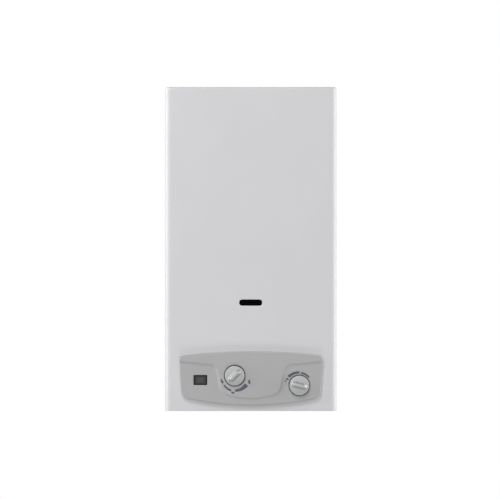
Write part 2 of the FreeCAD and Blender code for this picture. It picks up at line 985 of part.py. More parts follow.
def make_bottom_bracket():
    """A folded shelf, screwed to the back plate, that carries both valves and the battery box."""
    owner = body("bottom_bracket")
    half = size.shelf_width / 2
    thick = size.shelf_thickness
    side = sketch(owner, "section", "YZ_Plane", -half)
    front = -size.shelf_front
    top = level(shelf_top)
    low = level(size.shelf_level)
    outline(
        side,
        [
            (plate_front, low, None),
            (plate_front, level(size.shelf_level + size.shelf_leg), None),
            (plate_front - thick, level(size.shelf_level + size.shelf_leg), None),
            (plate_front - thick, top, None),
            (front, top, None),
            (front, low - size.shelf_flange, None),
            (front + thick, low - size.shelf_flange, None),
            (front + thick, low, None),
        ],
    )
    pad(owner, "fold", side, size.shelf_width)
    ends = sketch(owner, "ends", "XY_Plane", low)
    for side_sign in (-1, 1):
        edge = half * side_sign
        near = edge - thick * side_sign
        rectangle(ends, (min_size(edge, near), max_size(edge, near)), (front, plate_front))
    pad(owner, "end_flanges", ends, size.shelf_flange)
    holes = sketch(owner, "holes", "XY_Plane", top)
    clear = size.thread_radius + size.hole_gap
    circle(holes, size.water_inlet_across, valve_axis, clear)
    circle(holes, -size.hot_pipe_offset, hot_pipe_depth, clear)
    circle(holes, gas_inlet_across, gas_inlet_depth, clear)
    gap = size.hole_gap
    rectangle(
        holes, (size.battery_left - gap, battery_right + gap), (battery_front - gap, battery_rear + gap)
    )
    pocket(owner, "holes_cut", holes, thick * 2)
    return owner


def min_size(one, other):
    return one if float(one) < float(other) else other


def max_size(one, other):
    return other if float(one) < float(other) else one


tube_first = chamber_middle - size.tube_spacing * (size.tube_count - 1) / 2
tube_last = chamber_middle + size.tube_spacing * (size.tube_count - 1) / 2
hot_pipe_depth = tube_first


def make_sight_glass():
    """A dark pane behind the slot, held by a spring frame."""
    half = size.slot_width / 2 + size.glass_margin
    rise = size.slot_height / 2 + size.glass_margin
    pane = block(
        "sight_glass_pane", (-half, half), (front_inside, front_inside + size.glass_thickness),
        (level(size.slot_level) - rise, level(size.slot_level) + rise),
    )
    back = front_inside + size.glass_thickness
    middle = level(size.slot_level)
    gap = size.seat_gap
    clip_half = half + size.clip_reach
    clip_rise = rise + size.clip_rim
    hold = half - size.clip_hold
    hold_rise = rise - size.clip_hold_rise
    outer = block(
        "clip_outer", (-clip_half, clip_half), (front_inside, back + size.clip_thickness),
        (middle - clip_rise, middle + clip_rise),
    )
    seat = block(
        "clip_seat", (-half - gap, half + gap), (front_inside - 1, back),
        (middle - clip_rise - 1, middle + clip_rise + 1),
    )
    window = block(
        "clip_window", (-hold, hold), (back - 1, back + size.clip_thickness + 1),
        (middle - hold_rise, middle + hold_rise),
    )
    return [rename(pane, "sight_glass"), cut("sight_glass_clip", outer, [seat, window])]


def rename(item, label):
    item.Label = label
    return item


# Fascia, display and knobs

def make_fascia():
    """A moulded fascia: a raised band and tongue over two lower wings, hollow behind."""
    owner = body("control_fascia")
    face = sketch(owner, "face", "XZ_Plane", size.casing_front)
    fascia_outline(face, as_size(0))
    slab = pad(owner, "slab", face, size.fascia_depth)
    wings = sketch(owner, "wings", "XZ_Plane", -fascia_front)
    outer = level(size.band_outer)
    inner = level(size.band_inner)
    far = size.fascia_top_half + 10
    corner = size.band_round
    low_corner = size.tongue_round
    rise = size.tongue_low_corner - size.tongue_bottom
    sag_half = size.tongue_low_half - low_corner
    neck = size.tongue_top_half - size.tongue_neck
    elbow = size.tongue_low_half + size.tongue_corner_out
    elbow_up = level(size.tongue_low_corner + size.tongue_corner_up)
    sag_up = level(size.tongue_low_corner - size.tongue_corner_down)
    sag = arc_radius(sag_half, rise - size.tongue_corner_down)
    outline(
        wings,
        [
            (-far, outer, None),
            (-far, level(-5), None),
            (far, level(-5), None),
            (far, outer, None),
            (size.tongue_top_half + corner, inner, corner * 1.1),
            (neck, inner - corner, None),
            (elbow, elbow_up, -low_corner * 1.05),
            (sag_half, sag_up, -sag),
            (-sag_half, sag_up, -low_corner * 1.05),
            (-elbow, elbow_up, None),
            (-neck, inner - corner, corner * 1.1),
            (-(size.tongue_top_half + corner), inner, None),
        ],
    )
    step = pocket(owner, "wing_step", wings, size.fascia_step)
    front = float(fascia_front)
    edges = edges_where(
        step.Shape, lambda edge: edge.BoundBox.YMax < front + 1e-4
    )
    dress("Fillet", owner, "front_edges", step, edges, size.fascia_edge, "Radius")
    behind = sketch(owner, "behind", "XZ_Plane", size.casing_front)
    fascia_outline(behind, size.fascia_wall)
    pocket(owner, "hollow", behind, size.fascia_depth - size.fascia_step - size.fascia_wall, True)
    openings = sketch(owner, "openings", "XZ_Plane", -fascia_front + 5)
    window = size.knob_radius + size.knob_gap
    circle(openings, size.temperature_across, level(size.temperature_level), window)
    circle(openings, size.power_across, level(size.power_level), window)
    half = size.display_width / 2
    rise = size.display_height / 2
    rectangle(
        openings, (size.display_across - half, size.display_across + half),
        (level(size.display_level) - rise, level(size.display_level) + rise),
    )
    pocket(owner, "windows", openings, size.fascia_depth + 10)
    bosses = sketch(owner, "bosses", "XZ_Plane", size.casing_front)
    for across, height in boss_places:
        circle(bosses, across, level(height), size.fascia_boss_radius)
    pad(owner, "screw_bosses", bosses, size.fascia_depth - size.fascia_step - size.fascia_wall / 2)
    pilots = sketch(owner, "pilots", "XZ_Plane", size.casing_front)
    for across, height in boss_places:
        circle(pilots, across, level(height), size.screw_radius - size.screw_bite)
    pocket(owner, "screw_pilots", pilots, size.boss_bore_depth, True)
    return owner


boss_inset = size.fascia_wall + size.fascia_boss_radius - size.boss_overlap
boss_places = [
    (
        (size.fascia_top_half - boss_inset) * side,
        size.fascia_top_corner - size.fascia_top_round - size.upper_boss_drop,
    )
    for side in (-1, 1)
] + [
    (
        (size.fascia_bottom_half - boss_inset) * side,
        size.fascia_bottom_corner + size.fascia_bottom_round + size.lower_boss_lift,
    )
    for side in (-1, 1)
]


def make_display():
    """The display: a clear lens in the fascia, a box behind it, a board and the glass itself."""
    across = size.display_across
    middle = level(size.display_level)
    half = size.display_width / 2
    rise = size.display_height / 2
    gap = size.lens_gap
    lens_front = wing_front + size.lens_setback
    lens = block(
        "display_lens", (across - half + gap, across + half - gap),
        (lens_front, wing_front + size.fascia_wall),
        (middle - rise + gap, middle + rise - gap),
    )
    back = wing_front + size.fascia_wall
    rim = size.display_rim
    wall = size.display_box_wall
    outer = block(
        "display_housing_outer", (across - half - rim, across + half + rim),
        (back, back + size.display_box_depth), (middle - rise - rim, middle + rise + rim),
    )
    room = block(
        "display_housing_room", (across - half - rim + wall, across + half + rim - wall),
        (back - 1, back + size.display_box_depth - wall),
        (middle - rise - rim + wall, middle + rise + rim - wall),
    )
    housing = cut("display_housing", outer, [room])
    board_back = back + size.display_box_depth - wall
    board = block(
        "display_board", (across - half - rim + wall, across + half + rim - wall),
        (board_back - size.board_thickness, board_back),
        (middle - rise - rim + wall, middle + rise + rim - wall),
    )
    glass = block(
        "lcd_glass", (across - half, across + half), (back, board_back - size.board_thickness),
        (middle - rise, middle + rise),
    )
    return [lens, housing, board, glass]


def make_knob(name, across, height, spindle_end, turn):
    """A round knob with a bar grip, hollow behind, on its spindle."""
    face = fascia_front - size.knob_face
    skirt = face + size.knob_face + size.knob_skirt
    owner = body(name)
    profile = sketch(owner, "profile", "XY_Plane")
    radius = size.knob_radius
    edge = size.knob_edge
    wall = size.knob_wall
    bore = size.spindle_radius + size.spindle_gap
    outline(
        profile,
        [
            (0, face, None),
            (radius - edge, face, edge),
            (radius, face + edge, None),
            (radius, skirt, None),
            (radius - wall, skirt, None),
            (radius - wall, face + wall, None),
            (size.hub_radius, face + wall, None),
            (size.hub_radius, skirt, None),
            (bore, skirt, None),
            (bore, face + wall / 2, None),
            (0, face + wall / 2, None),
        ],
    )
    spin(owner, "turn", profile, "V_Axis")
    grip = sketch(owner, "grip", "XZ_Plane", -face - size.grip_overlap)
    half = size.grip_width / 2
    reach = size.grip_reach
    tip_half = half * 0.7
    outline(
        grip,
        [
            (-half, -reach * 0.55, None),
            (-tip_half, -reach, tip_half * 1.3),
            (tip_half, -reach, None),
            (half, -reach * 0.55, None),
            (half, reach * 0.55, None),
            (tip_half, reach, tip_half * 1.3),
            (-tip_half, reach, None),
            (-half, reach * 0.55, None),
        ],
    )
    bar = pad(owner, "grip_bar", grip, size.grip_height + size.grip_overlap)
    bind(bar, "TaperAngle", -size.grip_taper)
    doc.recompute()
    rotation = FreeCAD.Rotation(FreeCAD.Vector(0, 1, 0), float(turn))
    owner.Placement = FreeCAD.Placement(FreeCAD.Vector(), rotation)
    bind(owner, "Placement.Rotation.Angle", turn)
    place(owner, across, 0, level(height))
    tip = face + wall / 2 + size.spindle_end_gap
    spindle = rod(
        f"{name[:-5]}_spindle", size.spindle_radius, across, spindle_end, level(height), "front",
        spindle_end - tip,
    )
    return owner, spindle


# Water valve

disc_left = water_right
disc_right = disc_left + size.water_flange
cover_left = disc_right + size.diaphragm_thickness
cover_right = cover_left + size.cover_depth
neck_end = cover_right + size.cover_neck
diaphragm_up = level(size.diaphragm_level)


def circle_of_screws():
    """Offsets of the flange screws from the valve's axis."""
    turns = [2 * math.pi / SCREWS * (index + 0.5) for index in range(SCREWS)]
    return [(size.screw_circle * math.cos(turn), size.screw_circle * math.sin(turn)) for turn in turns]


SCREWS = int(sheet.get("screw_count"))


def make_water_valve():
    """The water valve: a cast block with a selector boss, a bored passage and a diaphragm flange."""
    name = "water_valve_body"
    left = size.water_left
    top = level(size.water_top)
    low = level(size.water_bottom)
    bore = size.bore_radius
    solid = fuse(
        f"{name}_solid",
        [
            block(f"{name}_block", (left, water_right), (water_front, water_back), (low, top)),
            rod(
                f"{name}_boss", size.selector_radius, size.temperature_across, water_front + 1,
                level(size.temperature_level), "front", size.selector_length + 1,
            ),
            rod(
                f"{name}_inlet", size.inlet_boss_radius, size.water_inlet_across, valve_axis,
                level(shelf_top), "up", low - level(shelf_top) + 1,
            ),
            rod(
                f"{name}_flange", size.diaphragm_radius, water_right, valve_axis, diaphragm_up, "right",
                size.water_flange,
            ),
        ],
    )
    passage_top = level(size.water_bottom + size.passage_height)
    tools = [
        rod(
            f"{name}_passage", bore, size.water_inlet_across, valve_axis, level(shelf_top) - 1, "up",
            passage_top - level(shelf_top) + 1,
        ),
        rod(
            f"{name}_outlet", size.pipe_radius - size.pipe_wall, size.water_outlet_across, valve_axis,
            top - size.outlet_depth, "up", size.outlet_depth + 1,
        ),
        rod(
            f"{name}_selector_bore", size.spindle_radius + size.spindle_gap, size.temperature_across,
            water_front - size.selector_length + size.spindle_depth + 1,
            level(size.temperature_level), "front", size.spindle_depth + 2,
        ),
        rod(
            f"{name}_chamber", size.diaphragm_room, disc_right - size.room_depth, valve_axis, diaphragm_up,
            "right", size.room_depth + 1,
        ),
        rod(
            f"{name}_drain", size.drain_radius, left - 1, valve_axis,
            level(size.water_bottom + size.drain_level), "right", size.drain_bore_depth + 1,
        ),
    ]
    for index, (aside, above) in enumerate(circle_of_screws()):
        tools.append(
            rod(
                f"{name}_thread{index}", size.screw_radius, disc_left - 1, valve_axis + aside,
                diaphragm_up + above, "right", size.water_flange + 2,
            )
        )
    return cut(name, solid, tools)


def make_diaphragm():
    """A rubber disc clamped between the valve's flange and the cover."""
    disc = rod(
        "diaphragm_disc", size.diaphragm_radius, disc_right, valve_axis, diaphragm_up, "right",
        size.diaphragm_thickness,
    )
    holes = [
        rod(
            f"diaphragm_hole{index}", size.screw_radius + size.screw_gap, disc_right - 1, valve_axis + aside,
            diaphragm_up + above, "right", size.diaphragm_thickness + 2,
        )
        for index, (aside, above) in enumerate(circle_of_screws())
    ]
    return cut("diaphragm", disc, holes)


def make_diaphragm_cover():
    """The cover over the diaphragm, turned with a neck that guides the pushrod."""
    name = "diaphragm_cover"
    radius = size.diaphragm_radius
    bore = size.pushrod_radius + size.spindle_gap
    wall = size.cover_wall
    shell = turned(
        f"{name}_turned",
        [
            (cover_left, radius),
            (cover_left + wall, radius),
            (cover_left + wall, size.screw_circle - size.screw_head - size.cover_head_gap),
            (cover_right, size.diaphragm_room + size.cover_shoulder),
            (cover_right, size.cover_neck_radius),
            (neck_end, size.cover_neck_radius),
            (neck_end, bore),
            (cover_right - wall, bore),
            (cover_right - wall, size.diaphragm_room),
            (cover_left, size.diaphragm_room),
        ],
        "right", 0, valve_axis, diaphragm_up,
    )
    holes = [
        rod(
            f"{name}_hole{index}", size.screw_radius + size.screw_gap, cover_left - 1, valve_axis + aside,
            diaphragm_up + above, "right", size.cover_depth,
        )
        for index, (aside, above) in enumerate(circle_of_screws())
    ]
    return cut(name, shell, holes)


def make_valve_screws():
    """Screws round the diaphragm cover, and four at the corners of the gas valve's cover."""
    screws = []
    seat = cover_left + size.cover_wall
    for index, (aside, above) in enumerate(circle_of_screws()):
        shank = rod(
            f"flange_screw_shank{index}", size.screw_radius, disc_left + 1, valve_axis + aside,
            diaphragm_up + above, "right", seat - disc_left - 1,
        )
        head = rod(
            f"flange_screw_head{index}", size.screw_head, seat, valve_axis + aside, diaphragm_up + above,
            "right", size.flange_screw_head,
        )
        screws.append(fuse(f"flange_screw{index}", [shank, head]))
    inset = size.gas_screw_inset
    for across in (size.gas_left + inset, gas_right - inset):
        for height in (size.gas_bottom + inset, size.gas_top - inset):
            screws.append(
                rod(
                    f"gas_screw{len(screws)}", size.screw_head, across, gas_front, level(height), "front",
                    size.gas_screw_head,
                )
            )
    return group("valve_screws", screws)


def make_pushrod():
    """The pushrod: a plate that the diaphragm lifts, a rod through the neck, and a collar for the switch."""
    rod_radius = size.pushrod_radius
    plate_left = cover_left + size.pushrod_rest_gap
    plate_right = plate_left + size.pushrod_plate_thickness
    collar = size.collar_across
    return turned(
        "pushrod",
        [
            (plate_left, 0),
            (plate_left, size.pushrod_plate),
            (plate_right, size.pushrod_plate),
            (plate_right, rod_radius),
            (collar, rod_radius),
            (collar, size.collar_radius),
            (collar + size.collar_width, size.collar_radius),
            (collar + size.collar_width, rod_radius),
            (size.gas_left + size.pushrod_entry, rod_radius),
            (size.gas_left + size.pushrod_entry, 0),
        ],
        "right", 0, valve_axis, diaphragm_up,
    )


def make_nipple(name, across, depth):
    """A threaded connection under the shelf: collar above, lock nut below, bore right through."""
    top = level(size.shelf_level)
    low = top - size.nipple_length
    stem = rod(f"{name}_stem", size.thread_radius, across, depth, low, "up", level(shelf_top) - low)
    nut = hexagon(
        f"{name}_nut", size.nut_across, across, depth, top - size.nut_height, "up", size.nut_height
    )
    bore = rod(f"{name}_bore", size.bore_radius, across, depth, low - 1, "up", size.nipple_length + 10)
    return cut(name, fuse(f"{name}_solid", [stem, nut]), [bore])


def make_drain_plug():
    """A plug in the water valve's side, to empty it against frost."""
    up = level(size.water_bottom + size.drain_level)
    left = size.water_left
    stem = rod(
        "drain_stem", size.drain_radius, left - size.drain_gap, valve_axis, up, "right",
        size.drain_gap + size.drain_reach,
    )
    head = hexagon(
        "drain_head", size.drain_nut, left - size.drain_head, valve_axis, up, "right", size.drain_head
    )
    return fuse("drain_plug", [stem, head])


def make_inlet_filter():
    """A cup strainer inside the cold inlet."""
    low = level(shelf_top)
    radius = size.bore_radius - size.filter_gap
    outside = rod(
        "filter_outside", radius, size.water_inlet_across, valve_axis, low, "up", size.filter_length
    )
    inside = rod(
        "filter_inside", radius - size.filter_wall, size.water_inlet_across, valve_axis, low - 1, "up",
        size.filter_length - size.filter_end + 1,
    )
    return cut("inlet_filter", outside, [inside])


# Microswitch that the pushrod works

bracket_top = level(size.bracket_level)
pivot_across = size.collar_across + size.collar_width + size.pivot_offset
pivot_up = level(size.pivot_level)


def make_microswitch():
    """The bracket on the cover, the switch under it with two ears and a pin, and the swinging lever."""
    thick = size.shelf_thickness
    half = size.switch_half
    ear = size.ear_thickness
    front = valve_axis - half
    back = valve_axis + half
    wide = (front - size.bracket_reach, back + size.bracket_reach)
    bracket = fuse(
        "microswitch_bracket",
        [
            block(
                "switch_leg", (cover_right, cover_right + thick), wide,
                (diaphragm_up + size.cover_neck_radius + size.bracket_gap, bracket_top),
            ),
            block("switch_arm", (cover_right, size.switch_right), wide, (bracket_top - thick, bracket_top)),
        ],
    )
    ears = [
        block(
            f"switch_ear{index}", (pivot_across - size.ear_half, pivot_across + size.ear_half),
            (near, near + ear), (pivot_up - size.ear_drop, bracket_top - thick - size.ear_room),
        )
        for index, near in enumerate((front, back - ear))
    ]
    case = block(
        "switch_case", (size.switch_left, size.switch_right), (front, back),
        (pivot_up + size.switch_rise, bracket_top - thick),
    )
    pin = rod("switch_pin", size.pivot_radius, pivot_across, back, pivot_up, "front", half * 2)
    inner_front = front + ear + size.lever_gap
    inner_back = back - ear - size.lever_gap
    barrel = rod(
        "lever_barrel", size.lever_barrel, pivot_across, inner_back, pivot_up, "front",
        inner_back - inner_front,
    )
    blade = block(
        "lever_blade", (pivot_across - size.blade_left, pivot_across + size.blade_right),
        (inner_front, inner_back), (diaphragm_up + size.blade_foot, pivot_up),
    )
    bore = rod(
        "lever_bore", size.pivot_radius + size.spindle_gap, pivot_across, back, pivot_up, "front", half * 2
    )
    switch = fuse("microswitch", [case, *ears, pin])
    lever = cut("microswitch_lever", fuse("lever_solid", [barrel, blade]), [bore])
    return [bracket, switch, lever]


# Gas valve

power_up = level(size.power_level)


def make_gas_valve():
    """The gas valve: a die-cast block with the pushrod's bore, a spindle boss and ports above and below."""
    name = "gas_valve_body"
    low = level(size.gas_bottom)
    top = level(size.gas_top)
    solid = fuse(
        f"{name}_solid",
        [
            block(
                f"{name}_block", (size.gas_left, gas_right), (gas_front + size.gas_cover_thickness, gas_back),
                (low, top),
            ),
            rod(
                f"{name}_inlet", size.inlet_boss_radius, gas_inlet_across, gas_inlet_depth,
                level(shelf_top), "up", low - level(shelf_top) + 1,
            ),
            rod(
                f"{name}_outlet", size.gas_outlet_radius, size.power_across, gas_pipe_depth, top - 1, "up",
                size.gas_outlet_height + 1,
            ),
        ],
    )
    tools = [
        rod(
            f"{name}_rod_bore", size.pushrod_radius + size.spindle_gap, size.gas_left - 1, valve_axis,
            diaphragm_up, "right", size.pushrod_entry + size.pushrod_travel + size.pushrod_end_gap + 1,
        ),
        rod(
            f"{name}_in", size.bore_radius, gas_inlet_across, gas_inlet_depth, level(shelf_top) - 1, "up",
            size.gas_inlet_reach + 1,
        ),
        rod(
            f"{name}_out", size.pipe_radius, size.power_across, gas_pipe_depth,
            top - size.gas_outlet_depth, "up", size.gas_outlet_depth + size.gas_outlet_height + 1,
        ),
    ]
    return cut(name, solid, tools)


gas_pipe_depth = gas_front + size.gas_outlet_setback


def make_gas_cover():
    """The gas valve's front cover with the boss that carries the power spindle."""
    name = "gas_valve_cover"
    back = gas_front + size.gas_cover_thickness
    plate = block(
        f"{name}_plate", (size.gas_left, gas_right), (gas_front, back),
        (level(size.gas_bottom), level(size.gas_top)),
    )
    boss = rod(
        f"{name}_boss", size.gas_boss_radius, size.power_across, gas_front + 1, power_up, "front",
        size.gas_boss_length + 1,
    )
    bore = rod(
        f"{name}_bore", size.spindle_radius + size.spindle_gap, size.power_across,
        gas_front - size.gas_boss_length + size.spindle_depth + 1, power_up, "front", size.spindle_depth + 2,
    )
    return cut(name, fuse(f"{name}_solid", [plate, boss]), [bore])


def make_solenoids():
    """Two solenoid valves on the back of the gas valve."""
    coils = []
    for index in (-1, 1):
        across = (size.gas_left + gas_right) / 2 + size.solenoid_spacing / 2 * index
        middle = level((size.gas_bottom + size.gas_top) / 2 + size.solenoid_lift)
        coils.append(
            fuse(
                f"solenoid{index + 1}",
                [
                    rod(
                        f"solenoid_can{index + 1}", size.solenoid_radius, across,
                        gas_back + size.solenoid_length, middle, "front", size.solenoid_length,
                    ),
                    rod(
                        f"solenoid_stub{index + 1}", size.solenoid_stub_radius, across,
                        gas_back + size.solenoid_length + size.solenoid_stub, middle, "front",
                        size.solenoid_stub + 1,
                    ),
                ],
            )
        )
    return group("gas_solenoids", coils)


# Burner

frame_low = level(size.burner_bottom)
frame_top = level(chamber_bottom)
bar_front = chamber_middle - size.bar_length / 2
bar_rear = chamber_middle + size.bar_length / 2
frame_front = bar_front - size.frame_wall
frame_rear = bar_rear + size.frame_wall
manifold_rear = frame_front - size.injector_length
manifold_front = manifold_rear - size.manifold_size
throat_up = frame_low + size.manifold_size / 2
BARS = int(sheet.get("bar_count"))
bar_places = [size.bar_pitch * (index - (BARS - 1) / 2) for index in range(BARS)]
frame_half = size.bar_pitch * (BARS / 2) + size.frame_side_gap


def make_burner_bars():
    """Flat burner bars, side by side: each has a rounded mixing throat and a slotted crown."""
    bars = []
    for index, across in enumerate(bar_places):
        half = size.bar_width / 2
        neck = size.bar_neck / 2
        top = frame_low + size.bar_height
        crown = top - size.bar_crown
        shoulder = crown - size.bar_shoulder
        owner = body(f"burner_bar{index}")
        section = sketch(owner, "section", "XZ_Plane", -bar_rear)
        outline(
            section,
            [
                (across - half, frame_low + half, half * 1.001),
                (across + half, frame_low + half, None),
                (across + half, frame_low + half * 3, None),
                (across + neck, frame_low + half * 4, None),
                (across + neck, shoulder, None),
                (across + half, crown, None),
                (across + half, top, None),
                (across - half, top, None),
                (across - half, crown, None),
                (across - neck, shoulder, None),
                (across - neck, frame_low + half * 4, None),
                (across - half, frame_low + half * 3, None),
            ],
        )
        pad(owner, "bar", section, size.bar_length)
        bars.append(owner)
    return group("burner_bars", bars)


def make_burner_frame():
    """An open frame whose walls hold the bars' ends, with a flange that carries the chamber and two arms."""
    name = "burner_frame"
    flange_low = frame_top - size.frame_flange
    walls = cut(
        f"{name}_walls",
        block(
            f"{name}_outside", (-frame_half, frame_half), (frame_front, frame_rear), (frame_low, flange_low)
        ),
        [
            block(
                f"{name}_inside", (-frame_half + size.frame_wall, frame_half - size.frame_wall),
                (bar_front, bar_rear), (frame_low - 1, flange_low + 1),
            )
        ],
    )
    rim = cut(
        f"{name}_rim",
        block(
            f"{name}_plate", (-chamber_half, chamber_half), (chamber_front, chamber_rear),
            (flange_low, frame_top),
        ),
        [
            block(
                f"{name}_mouth", (-frame_half + size.frame_wall, frame_half - size.frame_wall),
                (bar_front, bar_rear), (flange_low - 1, frame_top + 1),
            )
        ],
    )
    arms = []
    for index, side in enumerate((-1, 1)):
        near = size.arm_near * side
        far = size.arm_far * side
        across = (min_size(near, far), max_size(near, far))
        arms.append(block(f"{name}_arm{index}", across, (chamber_rear, plate_front), (flange_low, frame_top)))
        arms.append(
            block(
                f"{name}_foot{index}", across, (plate_front - size.frame_wall, plate_front),
                (flange_low - size.arm_foot, frame_top),
            )
        )
    throats = [
        rod(
            f"{name}_throat{index}", size.throat_radius, across, bar_front + 1, throat_up, "front",
            size.frame_wall + 2,
        )
        for index, across in enumerate(bar_places)
    ]
    return cut(name, fuse(f"{name}_solid", [walls, rim, *arms]), throats)


def make_manifold():
    """A square gas rail across the front of the burner, closed at both ends."""
    name = "gas_manifold"
    half = size.manifold_half
    wall = size.manifold_wall
    outside = block(
        f"{name}_outside", (-half, half), (manifold_front, manifold_rear),
        (frame_low, frame_low + size.manifold_size),
    )
    tools = [
        block(
            f"{name}_inside", (-half + wall, half - wall), (manifold_front + wall, manifold_rear - wall),
            (frame_low + wall, frame_low + size.manifold_size - wall),
        ),
        rod(
            f"{name}_inlet", size.pipe_radius - size.pipe_wall, size.power_across, manifold_middle,
            frame_low - 1, "up", wall + 2,
        ),
    ]
    return cut(name, outside, tools)


manifold_middle = (manifold_front + manifold_rear) / 2


def make_injectors():
    """One injector from the rail into each bar's throat."""
    return group(
        "injectors",
        [
            rod(
                f"injector{index}", size.injector_radius, across, manifold_rear + size.injector_length,
                throat_up, "front", size.injector_length,
            )
            for index, across in enumerate(bar_places)
        ],
    )


def make_gas_pipe():
    """The pipe from the gas valve up to the rail, with a flange at its foot."""
    across = size.power_across
    foot = level(size.gas_top + size.gas_outlet_height)
    turn = foot + size.gas_pipe_rise
    return bent_pipe(
        "gas_pipe",
        [
            (across, gas_pipe_depth, foot),
            (across, gas_pipe_depth, turn),
            (across, manifold_middle, turn + size.gas_pipe_cross),
            (across, manifold_middle, frame_low),
        ],
        size.gas_pipe_bend, size.pipe_radius, size.pipe_wall,
    )


pilot_depth = (frame_front + manifold_rear) / 2
pilot_low = frame_low + size.manifold_size + size.pilot_lift


def make_pilot():
    """The pilot burner, the spark electrode and the flame probe on the front of the burner frame."""
    pieces = []
    flange_low = frame_top - size.frame_flange
    tab_low = pilot_low + size.tab_lift
    for name, across, thick in (
        ("pilot_burner", size.bar_pitch / 2, size.pilot_stem_radius),
        ("ignition_electrode", -size.bar_pitch / 2, size.probe_stem_radius),
        ("ionisation_probe", -size.bar_pitch * 1.5, size.probe_stem_radius),
    ):
        tab = block(
            f"{name}_tab", (across - size.tab_half, across + size.tab_half),
            (pilot_depth - size.tab_depth, frame_front), (tab_low, tab_low + size.tab_thickness),
        )
        stem = rod(f"{name}_stem", thick, across, pilot_depth, pilot_low, "up", size.pilot_stem_height)
        tip = rod(
            f"{name}_tip", size.pilot_tip_radius, across, pilot_depth, pilot_low, "up",
            flange_low - pilot_low - size.pilot_tip_gap,
        )
        pieces.append(fuse(name, [tab, stem, tip]))
    return pieces


def make_pilot_tube():
    """A thin tube from the gas valve to the pilot burner."""
    across = gas_right - size.pilot_tube_inset
    start = level(size.gas_top)
    turn = start + size.pilot_tube_rise
    arrive = size.bar_pitch / 2
    return bent_pipe(
        "pilot_tube",
        [
            (across, valve_axis, start),
            (across, valve_axis, turn),
            (across - size.pilot_tube_cross, valve_axis, turn + size.pilot_tube_climb),
            (arrive + size.pilot_tube_cross, pilot_depth, pilot_low - size.pilot_tube_climb * 1.5),
            (arrive, pilot_depth, pilot_low - size.pilot_tube_climb),
            (arrive, pilot_depth, pilot_low),
        ],
        size.pilot_tube_bend, size.pilot_tube_radius,
    )


# Heat exchanger

def make_chamber():
    """The copper jacket round the flames and the fins, open above and below."""
    owner = body("combustion_chamber")
    plan = sketch(owner, "plan", "XY_Plane", frame_top)
    rounded(plan, (-chamber_half, chamber_half), (chamber_front, chamber_rear), size.chamber_corner)
    pad(owner, "jacket", plan, size.chamber_height)
    inside = sketch(owner, "inside", "XY_Plane", frame_top)
    wall = size.chamber_wall
    rounded(
        inside, (-chamber_half + wall, chamber_half - wall), (chamber_front + wall, chamber_rear - wall),
        size.chamber_corner - wall,
    )
    pocket(owner, "room", inside, size.chamber_height, True)
    holes = sketch(owner, "holes", "YZ_Plane", -chamber_half - 5)
    for index in range(TUBES):
        circle(holes, tube_first + size.tube_spacing * index, level(size.tube_level), tube_hole)
    pocket(owner, "tube_holes", holes, size.chamber_width + 10, True)
    return owner


TUBES = int(sheet.get("tube_count"))
FINS = int(sheet.get("fin_count"))
tube_hole = size.tube_radius + size.tube_gap


def make_exchanger_tubes():
    """Straight tubes that cross the jacket through the fins."""
    length = size.chamber_width + 2 * size.tube_stub
    return group(
        "exchanger_tubes",
        [
            tube(
                f"exchanger_tube{index}", size.tube_radius, size.tube_radius - size.tube_wall,
                -tube_end, tube_first + size.tube_spacing * index, level(size.tube_level),
                "right", length,
            )
            for index in range(TUBES)
        ],
    )


def make_fins():
    """Thin copper fins across the flue way, pierced by every tube."""
    owner_pieces = []
    for index in range(FINS):
        owner = body(f"fin{index}")
        start = size.fin_pitch * (index - (FINS - 1) / 2) - size.fin_thickness / 2
        face = sketch(owner, "face", "YZ_Plane", start)
        margin = size.chamber_wall + size.fin_gap
        low = level(size.tube_level) - size.fin_height / 2
        high = level(size.tube_level) + size.fin_height / 2
        rectangle(face, (chamber_front + margin, chamber_rear - margin), (low, high))
        for number in range(TUBES):
            circle(face, tube_first + size.tube_spacing * number, level(size.tube_level), tube_hole)
        pad(owner, "fin", face, size.fin_thickness)
        owner_pieces.append(owner)
    return group("exchanger_fins", owner_pieces)


def make_return_bends():
    """Half-round bends that join the tubes end to end, turn and turn about."""
    bends = []
    for index in range(TUBES - 1):
        side = -1 if index % 2 else 1
        low = tube_first + size.tube_spacing * index
        reach = float(size.tube_spacing) / 2
        near = FreeCAD.Vector(float(tube_end) * side, float(low), float(level(size.tube_level)))
        far = near + FreeCAD.Vector(0, 2 * reach, 0)
        via = near + FreeCAD.Vector(reach * side, reach, 0)
        path = Part.Wire([Part.Arc(near, via, far).toShape()])
        outward = FreeCAD.Vector(side, 0, 0)
        ring = Part.Circle(near, outward, float(size.tube_radius)).toShape()
        hole = Part.Circle(near, outward, float(size.tube_radius - size.tube_wall)).toShape()
        solid = path.makePipeShell([Part.Wire([ring])], True, False)
        item = doc.addObject("Part::Feature", f"return_bend{index}")
        item.Shape = solid.cut(path.makePipeShell([Part.Wire([hole])], True, False))
        item.Placement = FreeCAD.Placement()
        bends.append(item)
    return group("return_bends", bends)


coil_offset = size.coil_radius + size.coil_gap
coil_left = -chamber_half - coil_offset
coil_right = chamber_half + coil_offset
coil_front = chamber_front - coil_offset
coil_rear = chamber_rear + coil_offset
coil_start_up = level(chamber_bottom) - size.coil_start_drop
coil_start = (coil_left, chamber_middle + size.coil_start_offset, coil_start_up)
tube_end = chamber_half + size.tube_stub


